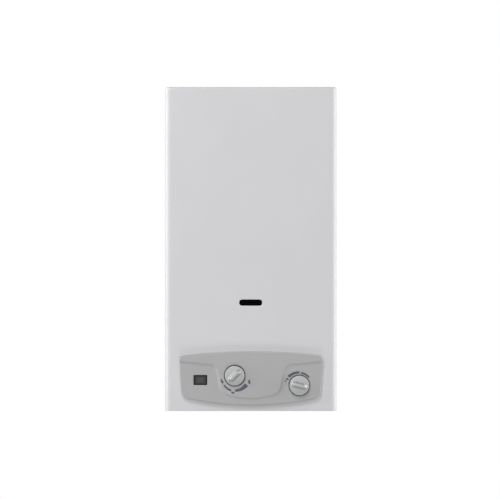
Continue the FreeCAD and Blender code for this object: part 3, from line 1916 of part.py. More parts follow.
def make_chamber_coil():
    """The pipe coiled twice round the jacket, up the back, and into the rearmost tube."""
    low = level(size.coil_low)
    high = level(size.coil_high)
    lift = size.coil_high - size.coil_low
    step = high - lift * 0.25
    out = -tube_end - size.coil_radius * 2.6
    across, depth, up = coil_start
    points = [
        (across, depth, up),
        (across, depth, low),
        (coil_left, coil_front, low),
        (coil_right, coil_front, low),
        (coil_right, coil_rear, low),
        (size.coil_cross, coil_rear, low),
        (-size.coil_cross, coil_rear, step),
        (coil_left, coil_rear, step),
        (coil_left, coil_front, step),
        (coil_right, coil_front, step),
        (coil_right, coil_rear, step),
        (size.coil_cross, coil_rear, step),
        (-size.coil_cross, coil_rear, high),
        (out, coil_rear, high),
        (out, tube_last, high),
        (out, tube_last, level(size.tube_level)),
        (-tube_end, tube_last, level(size.tube_level)),
    ]
    return bent_pipe("chamber_coil", points, size.coil_bend, size.coil_radius)


def make_cold_pipe():
    """The pipe from the water valve to the coil."""
    top = level(size.water_top)
    turn = top + size.cold_pipe_rise
    across, depth, up = coil_start
    points = [
        (size.water_outlet_across, valve_axis, top),
        (size.water_outlet_across, valve_axis, turn),
        (across, depth, turn + size.cold_pipe_cross),
        (across, depth, up),
    ]
    return bent_pipe("cold_water_pipe", points, size.cold_pipe_bend, size.pipe_radius, size.pipe_wall)


def make_hot_pipe():
    """The pipe from the last tube down to the hot outlet."""
    across = -size.hot_pipe_offset
    points = [
        (-tube_end, hot_pipe_depth, level(size.tube_level)),
        (across, hot_pipe_depth, level(size.tube_level)),
        (across, hot_pipe_depth, level(shelf_top)),
    ]
    return bent_pipe("hot_water_pipe", points, size.hot_pipe_bend, size.pipe_radius, size.pipe_wall)


def make_thermostats():
    """A temperature sensor clipped to the hot pipe, and two snap discs: on the jacket and on the hood."""
    up = level(size.tube_level) - size.sensor_drop
    across = -size.hot_pipe_offset
    clip = size.pipe_radius
    sensor = cut(
        "temperature_sensor",
        block(
            "sensor_block", (across - clip - size.sensor_outer, across + clip + size.sensor_inner),
            (hot_pipe_depth - clip - size.sensor_front, hot_pipe_depth + clip + size.sensor_rear),
            (up, up + size.sensor_height),
        ),
        [
            rod(
                "sensor_seat", clip + size.spindle_gap, across, hot_pipe_depth, up - 1, "up",
                size.sensor_height + 2,
            )
        ],
    )
    overheat_up = level(chamber_top) - size.overheat_drop
    spill_up = level(chamber_top) + size.hood_straight - size.spill_drop
    overheat = fuse(
        "overheat_thermostat",
        [
            rod(
                "overheat_disc", size.overheat_radius, size.overheat_across, chamber_front,
                overheat_up, "front", size.overheat_depth,
            ),
            rod(
                "overheat_cap", size.overheat_cap_radius, size.overheat_across,
                chamber_front - size.overheat_depth + 1, overheat_up, "front", size.overheat_cap + 1,
            ),
        ],
    )
    spill = fuse(
        "spill_thermostat",
        [
            rod(
                "spill_disc", size.spill_radius, size.spill_across, hood_front, spill_up, "front",
                size.spill_depth,
            ),
            rod(
                "spill_cap", size.spill_cap_radius, size.spill_across, hood_front - size.spill_depth + 1,
                spill_up, "front", size.spill_cap + 1,
            ),
        ],
    )
    return [sensor, overheat, spill]


# Flue way

hood_low = level(chamber_top)
hood_seam = level(chamber_top + size.hood_straight)
hood_half = size.hood_width / 2
hood_middle = (hood_front + hood_rear) / 2


def hood_plan(item, inset):
    """The hood's plan, less an inset all round."""
    return rounded(
        item, (-hood_half + inset, hood_half - inset), (hood_front + inset, hood_rear - inset),
        size.hood_corner - inset,
    )


def make_hood_floor():
    """The floor plate, open over the chamber's mouth."""
    owner = body("hood_floor")
    inset = size.chamber_corner / 2
    plan = sketch(owner, "plan", "XY_Plane", hood_low)
    hood_plan(plan, as_size(0))
    rectangle(
        plan, (-chamber_half + inset, chamber_half - inset), (chamber_front + inset, chamber_rear - inset)
    )
    pad(owner, "plate", plan, size.hood_wall)
    return owner


def make_hood_wrap():
    """The sheet that goes round the back, the sides and the four corners."""
    owner = body("hood_wrap")
    base = hood_low + size.hood_wall
    plan = sketch(owner, "plan", "XY_Plane", base)
    hood_plan(plan, as_size(0))
    hood_plan(plan, size.hood_wall)
    pad(owner, "band", plan, size.hood_straight - size.hood_wall)
    window = sketch(owner, "window", "XY_Plane", hood_seam)
    reach = hood_half - size.hood_corner
    rectangle(window, (-reach, reach), (hood_front - 1, hood_front + size.hood_wall + 1))
    pocket(owner, "front_gap", window, size.hood_straight)
    return owner


def make_hood_front():
    """The front plate with the relief opening, set between the wrap's front corners."""
    owner = body("hood_front_plate")
    face = sketch(owner, "face", "XZ_Plane", -hood_front)
    reach = hood_half - size.hood_corner
    relief_low = hood_low + size.relief_lift
    rectangle(face, (-reach, reach), (hood_low + size.hood_wall, hood_seam))
    rounded(
        face, (-(size.relief_width / 2), size.relief_width / 2),
        (relief_low, relief_low + size.relief_height), size.relief_corner,
    )
    pad(owner, "plate", face, size.hood_wall, True)
    return owner


def make_hood_roof():
    """The roof, drawn in on all sides, with a round way out."""
    owner = body("hood_roof")
    wall = size.hood_wall
    plan = sketch(owner, "plan", "XY_Plane", hood_seam)
    hood_plan(plan, as_size(0))
    slope = pad(owner, "slope", plan, size.hood_taper_height)
    bind(slope, "TaperAngle", -size.hood_taper)
    doc.recompute()
    inner = sketch(owner, "inner", "XY_Plane", hood_seam)
    hood_plan(inner, wall)
    room = pocket(owner, "room", inner, size.hood_taper_height - wall, True)
    bind(room, "TaperAngle", -size.hood_taper)
    doc.recompute()
    way_out = sketch(owner, "way_out", "XY_Plane", level(hood_top))
    circle(way_out, 0, hood_middle, size.collar_bore + size.collar_wall)
    pocket(owner, "way_out_cut", way_out, wall * 2)
    return owner


def make_flue_hood():
    """The draught hood: floor, wrap, front and roof, each a sheet of its own, seamed together."""
    return group("flue_hood", [make_hood_floor(), make_hood_wrap(), make_hood_front(), make_hood_roof()])


def make_flue_collar():
    """The round collar that takes the flue pipe, turned out at its foot."""
    bore = size.collar_bore
    outer = bore + size.collar_wall
    wall = size.collar_wall
    height = size.collar_height
    return turned(
        "flue_collar",
        [
            (0, bore),
            (0, outer + size.collar_flange),
            (wall, outer + size.collar_flange),
            (wall, outer),
            (height, outer),
            (height, bore),
        ],
        "up", 0, hood_middle, level(hood_top),
    )


def make_flue_baffle():
    """A folded plate across the hood that keeps a down-draught off the burner."""
    owner = body("flue_baffle")
    half = size.hood_width / 2 - size.hood_wall
    base = level(chamber_top + size.hood_straight - size.baffle_drop)
    peak = base + size.baffle_rise
    reach = size.baffle_half
    thick = size.hood_wall
    face = sketch(owner, "section", "YZ_Plane", -half)
    outline(
        face,
        [
            (hood_middle - reach, base, None),
            (hood_middle, peak, None),
            (hood_middle + reach, base, None),
            (hood_middle + reach, base + thick, None),
            (hood_middle, peak + thick, None),
            (hood_middle - reach, base + thick, None),
        ],
    )
    pad(owner, "fold", face, half * 2)
    return owner


def make_hood_bracket():
    """A channel between the back plate and the flue hood."""
    low = level(chamber_top + size.hood_bracket_lift)
    high = low + size.hood_bracket_height
    half = size.rib_offset - size.rib_width / 2 - size.bracket_rib_gap
    wall = size.plate_thickness
    channel = cut(
        "hood_bracket",
        block("hood_bracket_solid", (-half, half), (hood_rear, plate_front), (low, high)),
        [
            block(
                "hood_bracket_room", (-half - 1, half + 1), (hood_rear + wall, plate_front - wall),
                (low - 1, high - wall),
            )
        ],
    )
    return channel


# Battery box and electrics

battery_low = level(size.battery_bottom)
tray_left = size.battery_left + size.battery_wall + size.tray_gap
tray_right = battery_right - size.battery_wall - size.tray_gap
tray_rear = battery_rear - size.battery_wall - size.tray_gap
tray_front = battery_front + size.battery_wall + size.tray_gap
tray_top = battery_low + size.tray_floor + size.cell_height
case_top = tray_top + size.cell_headroom + size.battery_wall


def make_battery_case():
    """A moulded box, open below, with a flange that rests on the shelf."""
    name = "battery_case"
    wall = size.battery_wall
    outside = block(
        f"{name}_outside", (size.battery_left, battery_right), (battery_front, battery_rear),
        (battery_low + size.tray_floor, case_top),
    )
    rim = size.case_flange
    flange = block(
        f"{name}_flange", (size.battery_left - rim, battery_right + rim),
        (battery_front - rim, battery_rear + rim), (level(shelf_top), level(shelf_top) + wall),
    )
    room = block(
        f"{name}_room", (size.battery_left + wall, battery_right - wall),
        (battery_front + wall, battery_rear - wall), (battery_low - 1, case_top - wall),
    )
    return cut(name, fuse(f"{name}_solid", [outside, flange]), [room])


def make_battery_tray():
    """A drawer that slides down out of the box: a floor with a pull lip, a fence and a divider."""
    name = "battery_tray"
    wall = size.tray_wall
    floor = block(
        f"{name}_floor", (size.battery_left, battery_right), (battery_front, battery_rear),
        (battery_low, battery_low + size.tray_floor),
    )
    outside = block(
        f"{name}_fence", (tray_left, tray_right), (tray_front, tray_rear),
        (battery_low, battery_low + size.tray_floor + size.tray_fence),
    )
    reach = size.cell_radius + size.cell_gap / 2
    room = block(
        f"{name}_room", (tray_left + wall, tray_right - wall), (tray_front + wall, tray_rear - wall),
        (battery_low + size.tray_floor, tray_top),
    )
    middle = (tray_left + tray_right) / 2
    divider = block(
        f"{name}_divider", (middle - size.cell_gap / 4, middle + size.cell_gap / 4),
        (tray_front + wall / 2, tray_rear - wall / 2), (battery_low, battery_low + size.tray_divider),
    )
    lip = block(
        f"{name}_lip", (middle - reach, middle + reach), (battery_front - size.tray_lip, battery_front + 1),
        (battery_low, battery_low + size.tray_lip_thickness),
    )
    hollow_fence = cut(f"{name}_box", outside, [room])
    return fuse(name, [floor, hollow_fence, divider, lip])


def make_cells():
    """Two upright cells, each a can with its button."""
    reach = size.cell_radius + size.cell_gap * 0.75
    middle = (tray_left + tray_right) / 2
    depth = (tray_front + tray_rear) / 2
    base = battery_low + size.tray_floor
    cells = []
    for index, side in enumerate((-1, 1)):
        across = middle + reach * side
        cells.append(
            fuse(
                f"cell{index}",
                [
                    rod(
                        f"cell_can{index}", size.cell_radius, across, depth, base, "up",
                        size.cell_height - size.cell_button_height,
                    ),
                    rod(
                        f"cell_button{index}", size.cell_button_radius, across, depth, base, "up",
                        size.cell_height,
                    ),
                ],
            )
        )
    return group("battery_cells", cells)


unit_right = size.unit_left + size.unit_width
unit_front = plate_front - size.unit_depth
socket_front = unit_front + size.socket_setback
socket_places = [
    size.unit_left + size.socket_inset + size.socket_pitch * index
    for index in range(int(sheet.get("socket_count")))
]


def make_ignition_unit():
    """The control and spark unit on the back plate, its housing ribbed and its sockets on top."""
    name = "ignition_unit"
    low = level(size.unit_level)
    high = low + size.unit_height
    case = block(f"{name}_case", (size.unit_left, unit_right), (unit_front, plate_front), (low, high))
    sockets = [
        block(
            f"{name}_socket{index}", (left, left + size.socket_width),
            (socket_front, socket_front + size.socket_depth), (high - 1, high + size.socket_height),
        )
        for index, left in enumerate(socket_places)
    ]
    groove_ends = (size.unit_left + size.groove_inset, unit_right - size.groove_inset)
    first = low + size.groove_low
    grooves = [
        block(
            f"{name}_groove{index}", groove_ends, (unit_front - 1, unit_front + size.groove_depth),
            (first + size.groove_pitch * index, first + size.groove_pitch * index + size.groove_width),
        )
        for index in range(int(sheet.get("groove_count")))
    ]
    return cut(name, fuse(f"{name}_solid", [case, *sockets]), grooves)


def make_fascia_screws():
    """Four screws from behind, through the casing into the fascia's bosses."""
    screws = []
    back = front_inside
    for index, (across, height) in enumerate(boss_places):
        shank = rod(
            f"fascia_screw_shank{index}", size.screw_radius - size.screw_bite, across, back + 0.5,
            level(height), "front", size.casing_wall + size.fascia_screw_reach,
        )
        head = rod(
            f"fascia_screw_head{index}", size.screw_head, across, back + size.fascia_screw_head,
            level(height), "front", size.fascia_screw_head,
        )
        screws.append(fuse(f"fascia_screw{index}", [shank, head]))
    return group("fascia_screws", screws)


def make_leads():
    """The spark lead, the flame probe's lead and the display's lead, each clipped along its way."""
    top = level(size.unit_level) + size.unit_height + size.socket_height
    over = top + size.lead_rise
    depth = socket_front + size.socket_depth / 2
    display_spot, probe_spot, spark_spot = [left + size.socket_width / 2 for left in socket_places]
    board_rear = wing_front + size.fascia_wall + size.display_box_depth
    plug_up = level(size.display_level) + size.display_rim
    forward = (depth + pilot_depth) / 2
    probe = -size.bar_pitch * 1.5
    spark = -size.bar_pitch / 2
    routes = [
        [
            (spark_spot, depth, top), (spark_spot, depth, over), (spark_spot + size.lead_step, forward, over),
            (spark, pilot_depth, over), (spark, pilot_depth, pilot_low),
        ],
        [
            (probe_spot, depth, top), (probe_spot, depth, over - size.lead_sag),
            (probe_spot + size.lead_step, forward, over - size.lead_sag),
            (probe, pilot_depth, over - size.lead_sag), (probe, pilot_depth, pilot_low),
        ],
        [
            (display_spot, depth, top), (display_spot, depth, over),
            (size.display_across, depth, over), (size.display_across, forward, top - size.lead_step),
            (size.display_across, board_rear + size.lead_step, plug_up),
            (size.display_across, board_rear, plug_up),
        ],
    ]
    leads = [
        bent_pipe(f"lead{index}", route, size.lead_bend, size.lead_radius)
        for index, route in enumerate(routes)
    ]
    return group("ignition_leads", leads)


def export(pieces):
    """Check every object and every sub-part, then write one STEP file for each sub-part."""
    doc.recompute()
    for item in doc.Objects:
        if "Invalid" in item.State or "Error" in item.State:
            raise RuntimeError(f"{item.Name} failed: {item.State}")
    os.makedirs("parts", exist_ok=True)
    for item in pieces:
        shape = item.Shape
        if shape.isNull() or not shape.isValid() or not shape.Solids:
            raise RuntimeError(f"{item.Label} has no valid shape")
    for item in pieces:
        item.Shape.exportStep(f"parts/{item.Label}.step")
        print(f"{item.Label}: {len(item.Shape.Solids)} solids, {item.Shape.Volume / 1000:.1f} cm3")


temperature_knob, temperature_spindle = make_knob(
    "temperature_knob", size.temperature_across, size.temperature_level,
    water_front - size.selector_length + size.spindle_depth, size.temperature_rest,
)
power_knob, power_spindle = make_knob(
    "power_knob", size.power_across, size.power_level,
    gas_front - size.gas_boss_length + size.spindle_depth, size.power_rest,
)
export(
    [
        make_front_casing(),
        make_casing_screws(),
        make_back_plate(),
        make_bottom_bracket(),
        *make_sight_glass(),
        make_fascia(),
        *make_display(),
        make_fascia_screws(),
        temperature_knob,
        temperature_spindle,
        power_knob,
        power_spindle,
        make_water_valve(),
        make_diaphragm(),
        make_diaphragm_cover(),
        make_valve_screws(),
        make_pushrod(),
        make_nipple("cold_inlet_nipple", size.water_inlet_across, valve_axis),
        make_nipple("hot_outlet_nipple", -size.hot_pipe_offset, hot_pipe_depth),
        make_nipple("gas_inlet_nipple", gas_inlet_across, gas_inlet_depth),
        make_drain_plug(),
        make_inlet_filter(),
        *make_microswitch(),
        make_gas_valve(),
        make_gas_cover(),
        make_solenoids(),
        make_burner_bars(),
        make_burner_frame(),
        make_manifold(),
        make_injectors(),
        make_gas_pipe(),
        *make_pilot(),
        make_pilot_tube(),
        make_chamber(),
        make_exchanger_tubes(),
        make_fins(),
        make_return_bends(),
        make_chamber_coil(),
        make_cold_pipe(),
        make_hot_pipe(),
        *make_thermostats(),
        make_flue_hood(),
        make_flue_collar(),
        make_flue_baffle(),
        make_hood_bracket(),
        make_ignition_unit(),
        make_battery_case(),
        make_battery_tray(),
        make_cells(),
        make_leads(),
    ]
)
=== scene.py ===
"""Looks of a wall-hung tankless gas water heater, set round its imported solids.

The nodes whose shape is right keep it and get their finishes here. The pieces that show most, such as the
casing, the control fascia, the knobs, the flue collar and the connections, are finer surfaces that stand for
their nodes. Shapes are worked out in millimetres, with heights taken from the casing's lower edge.
"""

import json
import math

import bmesh
import bpy
import numpy as np
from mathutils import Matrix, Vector


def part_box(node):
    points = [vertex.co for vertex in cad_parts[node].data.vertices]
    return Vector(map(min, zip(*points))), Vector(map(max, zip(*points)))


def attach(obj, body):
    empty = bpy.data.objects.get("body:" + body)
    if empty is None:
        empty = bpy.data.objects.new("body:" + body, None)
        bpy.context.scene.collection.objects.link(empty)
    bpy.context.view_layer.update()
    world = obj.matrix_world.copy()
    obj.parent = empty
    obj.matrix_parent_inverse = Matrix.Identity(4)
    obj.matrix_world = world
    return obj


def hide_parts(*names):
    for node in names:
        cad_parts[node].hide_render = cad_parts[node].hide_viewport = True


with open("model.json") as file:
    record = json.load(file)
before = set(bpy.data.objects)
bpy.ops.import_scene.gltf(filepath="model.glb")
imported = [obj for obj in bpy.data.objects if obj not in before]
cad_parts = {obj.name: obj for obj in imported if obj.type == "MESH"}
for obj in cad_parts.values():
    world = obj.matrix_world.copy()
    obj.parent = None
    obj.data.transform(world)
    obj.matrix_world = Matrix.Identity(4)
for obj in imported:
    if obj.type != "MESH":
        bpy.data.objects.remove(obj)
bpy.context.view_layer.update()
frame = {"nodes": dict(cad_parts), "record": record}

# A millimetre and the distance at which points weld are in metres; TINY stands between any number and nothing
MM = 0.001
WELD = 2e-6
TINY = 1e-9
TURN = 2 * math.pi
QUARTER = math.pi / 2
LOWER_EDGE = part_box("front_casing")[0].z


def node_box(node):
    """Lowest and highest corners of a node in millimetres, with heights from the casing's lower edge."""
    low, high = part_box(node)
    ground = Vector((0, 0, LOWER_EDGE))
    return np.array((low - ground) / MM), np.array((high - ground) / MM)


casing_low, casing_high = node_box("front_casing")
lens_low, lens_high = node_box("display_lens")
temperature_low, temperature_high = node_box("temperature_knob")
power_low, power_high = node_box("power_knob")

# Casing: a wrap with round upright edges, a fold and a lip below, a round edge and a lip on top, and the slot
CASING_HALF = casing_high[0]
CASING_TALL = casing_high[2]
CASING_FRONT = casing_low[1]
CASING_REAR = casing_high[1]
CASING_WALL = 1.0
EDGE_RADIUS = 10.5
TOP_RADIUS = 4.0
FOLD_RADIUS = 1.0
LOW_LIP = 12.0
TOP_LIP = 24.0
SLOT_LEVEL = 198.0
SLOT_HALF = 21.0
SLOT_RISE = 5.6
SLOT_CORNER = 4.6
SLOT_LIP = 0.8
SLOT_SPARE = 1.0

# Control fascia: its outline, with bowed low and top edges and round corners, whose radius loses a share of
# any inset but keeps a least one. The casing is open behind it, from an inset inwards.
TOP_HALF = 131.0
LOW_HALF = 127.0
TOP_CORNER = 101.3
TOP_RISE = 7.9
LOW_CORNER = 26.0
LOW_RISE = 15.0
TOP_ROUND = 7.0
LOW_ROUND = 12.0
LEAST_ROUND = 1.0
ROUND_LOSS = 0.8
SEAT_INSET = 12.0
FASCIA_HALF = (TOP_HALF + LOW_HALF) / 2
FASCIA_SPAN = (TOP_CORNER - LOW_CORNER) / 2
FASCIA_MIDDLE = (LOW_CORNER + TOP_CORNER) / 2

# Control fascia: its walls, its windows, and the step from the raised band and tongue down to the wings. The
# band's lower edge is level out to a half width, then slopes from its inner to its outer height. The tongue
# widens from its foot up to the band, and its lower edge has risen by the sag at the sag's half width.
FASCIA_FRONT = node_box("control_fascia")[0][1]
FASCIA_WALL = 2.2
FASCIA_EDGE = 1.2
FASCIA_BORDER = 5.0
FASCIA_STEP = 2.5
STEP_RUN = 5.2
BAND_OUTER = 90.0
BAND_INNER = 84.0
BAND_LEVEL_HALF = 70.0
BAND_SLOPE_END = 1.1
BAND_CORNER = 9.0
TONGUE_TOP_HALF = 64.0
TONGUE_LOW_HALF = 53.0
TONGUE_FOOT = 30.0
TONGUE_LOW = 23.0
TONGUE_SAG = 6.0
TONGUE_SAG_HALF = 41.0
TONGUE_CORNER = 11.0
DISPLAY_GAP = 0.15
DISPLAY_CORNER = 0.8
WINDOW_SPARE = 0.6

# Knobs, by their spindles: the face patch under the grip has a reach along the pointer and a half width
TEMPERATURE_AT = tuple(((temperature_low + temperature_high) / 2)[[0, 2]])
POWER_AT = tuple(((power_low + power_high) / 2)[[0, 2]])
KNOB_RADIUS = (power_high - power_low)[0] / 2
KNOB_GAP = 1.2
KNOB_FACE = -236.0
KNOB_SKIRT = -222.0
KNOB_EDGE = 1.3
KNOB_DOME = 1.3
KNOB_WALL = 2.0
SKIRT_EDGE = 0.4
PATCH_REACH = 15.4
PATCH_HALF = 7.2
TEMPERATURE_POINTER = math.radians(225)
POWER_POINTER = math.radians(165)

# Grips: a ridge with a groove on the pointer end. It narrows by a share of its half width, about a share of
# its reach and over a run of it. The drops and the groove's depth are shares of its height.
GRIP_FRONT = -242.8
GRIP_HALF = 7.0
GRIP_REACH = 15.2
GRIP_FLANK = 6.0
GRIP_CORNER = 4.0
TIP_NARROWING = 0.3
TIP_MIDDLE = 0.78
TIP_RUN = 0.5
TIP_DROP = 0.13
SIDE_DROP = 0.03
GROOVE_HALF = 0.55
GROOVE_SIDE = 0.5
GROOVE_START = 6.5
GROOVE_SHORT = 1.3
GROOVE_END = 0.8
GROOVE_DEPTH = 0.05

# Printed marks: how far their film stands off the fascia, and its thickness
INK_RISE = 0.12
INK_WALL = 0.096

# Flue collar: its wall, the fillet from its foot, and its rounded rim
COLLAR_OUTER = 56.5
COLLAR_BORE = 55.5
COLLAR_FILLET = 1.4
COLLAR_EASE = 0.4
COLLAR_RIM = 0.9
RIM_EASE = 0.2

# Connections: half inch threads, and lock nuts. The bevel goes by depth under a face and radius over the half
# width.
THREAD_OUTER = 10.48
THREAD_PITCH = 1.814
THREAD_TOOTH = 0.95
THREAD_LEAD_IN = 1.2
THREAD_RUN_OUT = 1.0
PIPE_BORE = 7.0
PIPE_CHAMFER = 0.8
PIPE_LAND = 1.0
BORE_CHAMFER = 0.6
NUT_HALF = 13.5
NUT_LOW = 30.0
NUT_HIGH = 36.0
NUT_BEVEL = ((0.0, -0.6), (0.5, 0.5), (1.2, 2.2))

# White surroundings: how bright they look, and how much light falls from them
SEEN_LIGHT = 1.0
FALLING_LIGHT = 0.25

# Soft boxes: name, place and aim in metres from the object's middle, width, height and watts
BOXES = (
    ("front_box", (-0.2, -3.2, 0.8), (0, 0, 0), 3.4, 3.4, 36.5),
    ("key_box", (-0.7, -2.3, 1.9), (0, 0, 0), 0.8, 0.8, 23),
    ("left_box", (-1.6, -0.42, 0.3), (0, -0.21, 0), 0.7, 1.8, 22),
    ("right_box", (1.6, -0.21, 0.1), (0, -0.21, 0), 0.7, 1.8, 23),
    ("low_box", (0, -1.4, -1.6), (0, -0.2, -0.2), 1.6, 0.8, 7.8),
)

# Camera: the picture's width and scale, and where the object's middle lies from the picture's
PICTURE_WIDE = 500
PIXELS_PER_MM = 0.5475
PIXELS_RIGHT = 0.75
PIXELS_UP = 0.55
LENS = 300
SENSOR = 36

# Noises mostly stay between these
NOISE_LOW = 0.3
NOISE_HIGH = 0.7


# Meshes

class Surface:
    """Grids of points gathered patch by patch, then welded into one mesh of quads."""

    def __init__(self):
        self.points = []
        self.cells = []
        self.count = 0

    def grid(self, points, close_columns=False, dropped=None, flip=False):
        """Adds a grid, rows by columns by (across, depth, up). A cell's corners go row by row, so that it
        faces along columns x rows. dropped marks cells that stay open, and flip turns the faces round."""
        rows, columns = points.shape[:2]
        row = np.arange(rows - 1)
        column = np.arange(columns if close_columns else columns - 1)
        row, column = np.meshgrid(row, column, indexing="ij")
        beside = (column + 1) % columns
        here = row * columns
        above = here + columns
        cells = np.stack([here + column, here + beside, above + beside, above + column], -1)
        cells = cells.reshape(-1, 4) if dropped is None else cells[~dropped]
        if flip:
            cells = cells[:, ::-1]
        self.cells.append(cells + self.count)
        self.points.append(points.reshape(-1, 3))
        self.count += rows * columns

    def piece(self, name, slot, replaces=None, body="root", finish=None, sharp=35):
        """Makes the object: points become metres, doubles are welded and edges over the sharp angle stay
        crisp. Its finish is the slot's own, unless another is named."""
        points = np.concatenate(self.points) * MM
        points[:, 2] += LOWER_EDGE
        mesh = bpy.data.meshes.new(name)
        mesh.from_pydata(points, [], np.concatenate(self.cells).tolist())
        work = bmesh.new()
        work.from_mesh(mesh)
        bmesh.ops.remove_doubles(work, verts=work.verts, dist=WELD)
        bmesh.ops.dissolve_degenerate(work, edges=work.edges, dist=WELD)
        work.to_mesh(mesh)
        work.free()
        mesh.shade_smooth()
        mesh.set_sharp_from_angle(angle=math.radians(sharp))
        made = bpy.data.objects.new(name, mesh)
        bpy.context.scene.collection.objects.link(made)
        made.data.materials.append(finishes[finish or slot])
        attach(made, body)
        if replaces:
            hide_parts(replaces)
        return made


def thicken(piece, wall):
    """Gives an open sheet its wall, inwards from the face that was worked out."""
    solid = piece.modifiers.new("wall", "SOLIDIFY")
    solid.thickness = wall * MM
    solid.offset = -1
    solid.use_even_offset = True


def stack(across, depth, up):
    """Joins three arrays of one shape, or numbers, into a grid of points."""
    return np.stack(np.broadcast_arrays(across, depth, up), -1).astype(float)


def smooth_step(value):
    """0 below -1/2, 1 above 1/2, and a smooth cubic between."""
    share = np.clip(value + 0.5, 0, 1)
    return share * share * (3 - 2 * share)


def soft_least(one, other, reach):
    """The smaller of two distances, rounded where they cross within reach."""
    share = np.clip(0.5 + 0.5 * (other - one) / reach, 0, 1)
    return other + (one - other) * share - reach * share * (1 - share)


def ring_round(places, near):
    """The smallest block of grid cells round the marked points: its cells' mask, the points on its border,
    and the same points on a square from -1 to 1.

    places is rows by columns by (across, up). The border goes once round, counter-clockwise seen from the
    front."""
    rows = np.flatnonzero(near.any(1))
    columns = np.flatnonzero(near.any(0))
    low, high = rows[0] - 1, rows[-1] + 1
    left, right = columns[0] - 1, columns[-1] + 1
    along = np.arange(left, right)
    upward = np.arange(low, high)
    row = np.concatenate([
        np.full(along.shape, low), upward, np.full(along.shape, high), upward[::-1] + 1,
    ])
    column = np.concatenate([
        along, np.full(upward.shape, right), along[::-1] + 1, np.full(upward.shape, left),
    ])
    dropped = np.zeros((places.shape[0] - 1, places.shape[1] - 1), bool)
    dropped[low:high, left:right] = True
    square = np.stack([(column - left) / (right - left), (row - low) / (high - low)], -1) * 2 - 1
    return dropped, places[row, column], square


def border_ring(places):
    """The points on the border of a whole grid."""
    inside = np.zeros(places.shape[:2], bool)
    inside[1:-1, 1:-1] = True
    return ring_round(places, inside)[1]


def round_circle(ring, centre, radius):
    """The points of a circle in the directions of a ring's points."""
    away = ring - np.array(centre)
    return np.array(centre) + radius * away / np.linalg.norm(away, axis=1, keepdims=True)


def round_corners(points, size, corner):
    """Points about a rectangle's middle, with those past a corner's centre brought onto its circle."""
    inner = np.clip(points, corner - size, size - corner)
    away = points - inner
    length = np.maximum(np.linalg.norm(away, axis=1, keepdims=True), TINY)
    return inner + corner * away / length


def round_slot(square, centre, half, rise, corner):
    """A ring's points brought onto a round-cornered rectangle, to which its square is scaled."""
    size = np.array([half, rise])
    return np.array(centre) + round_corners(square * size, size, corner)


def lay(places, depth):
    """Places by (across, up), set at the depth that the function gives for them."""
    return stack(places[..., 0], depth(places[..., 0], places[..., 1]), places[..., 1])


def between(outer, inner, depth, steps):
    """Rings from outer to inner in even steps, at the depth that the function gives for a place."""
    share = np.linspace(0, 1, steps)[:, None, None]
    return lay(outer + (inner - outer) * share, depth)


def rolled_edge(outline, depth, radius, steps):
    """Rows over a quarter-round edge, from the flat face to the wall behind it. At each angle the outline
    stands off by the radius less its sine part, and lies deeper by the radius less its cosine part."""
    first = outline(radius)
    face = depth(first[:, 0], first[:, 1])
    rows = []
    for angle in np.linspace(0, QUARTER, steps):
        place = outline(radius * (1 - math.sin(angle)))
        rows.append(stack(place[:, 0], face + radius * (1 - math.cos(angle)), place[:, 1]))
    return rows


# Finishes

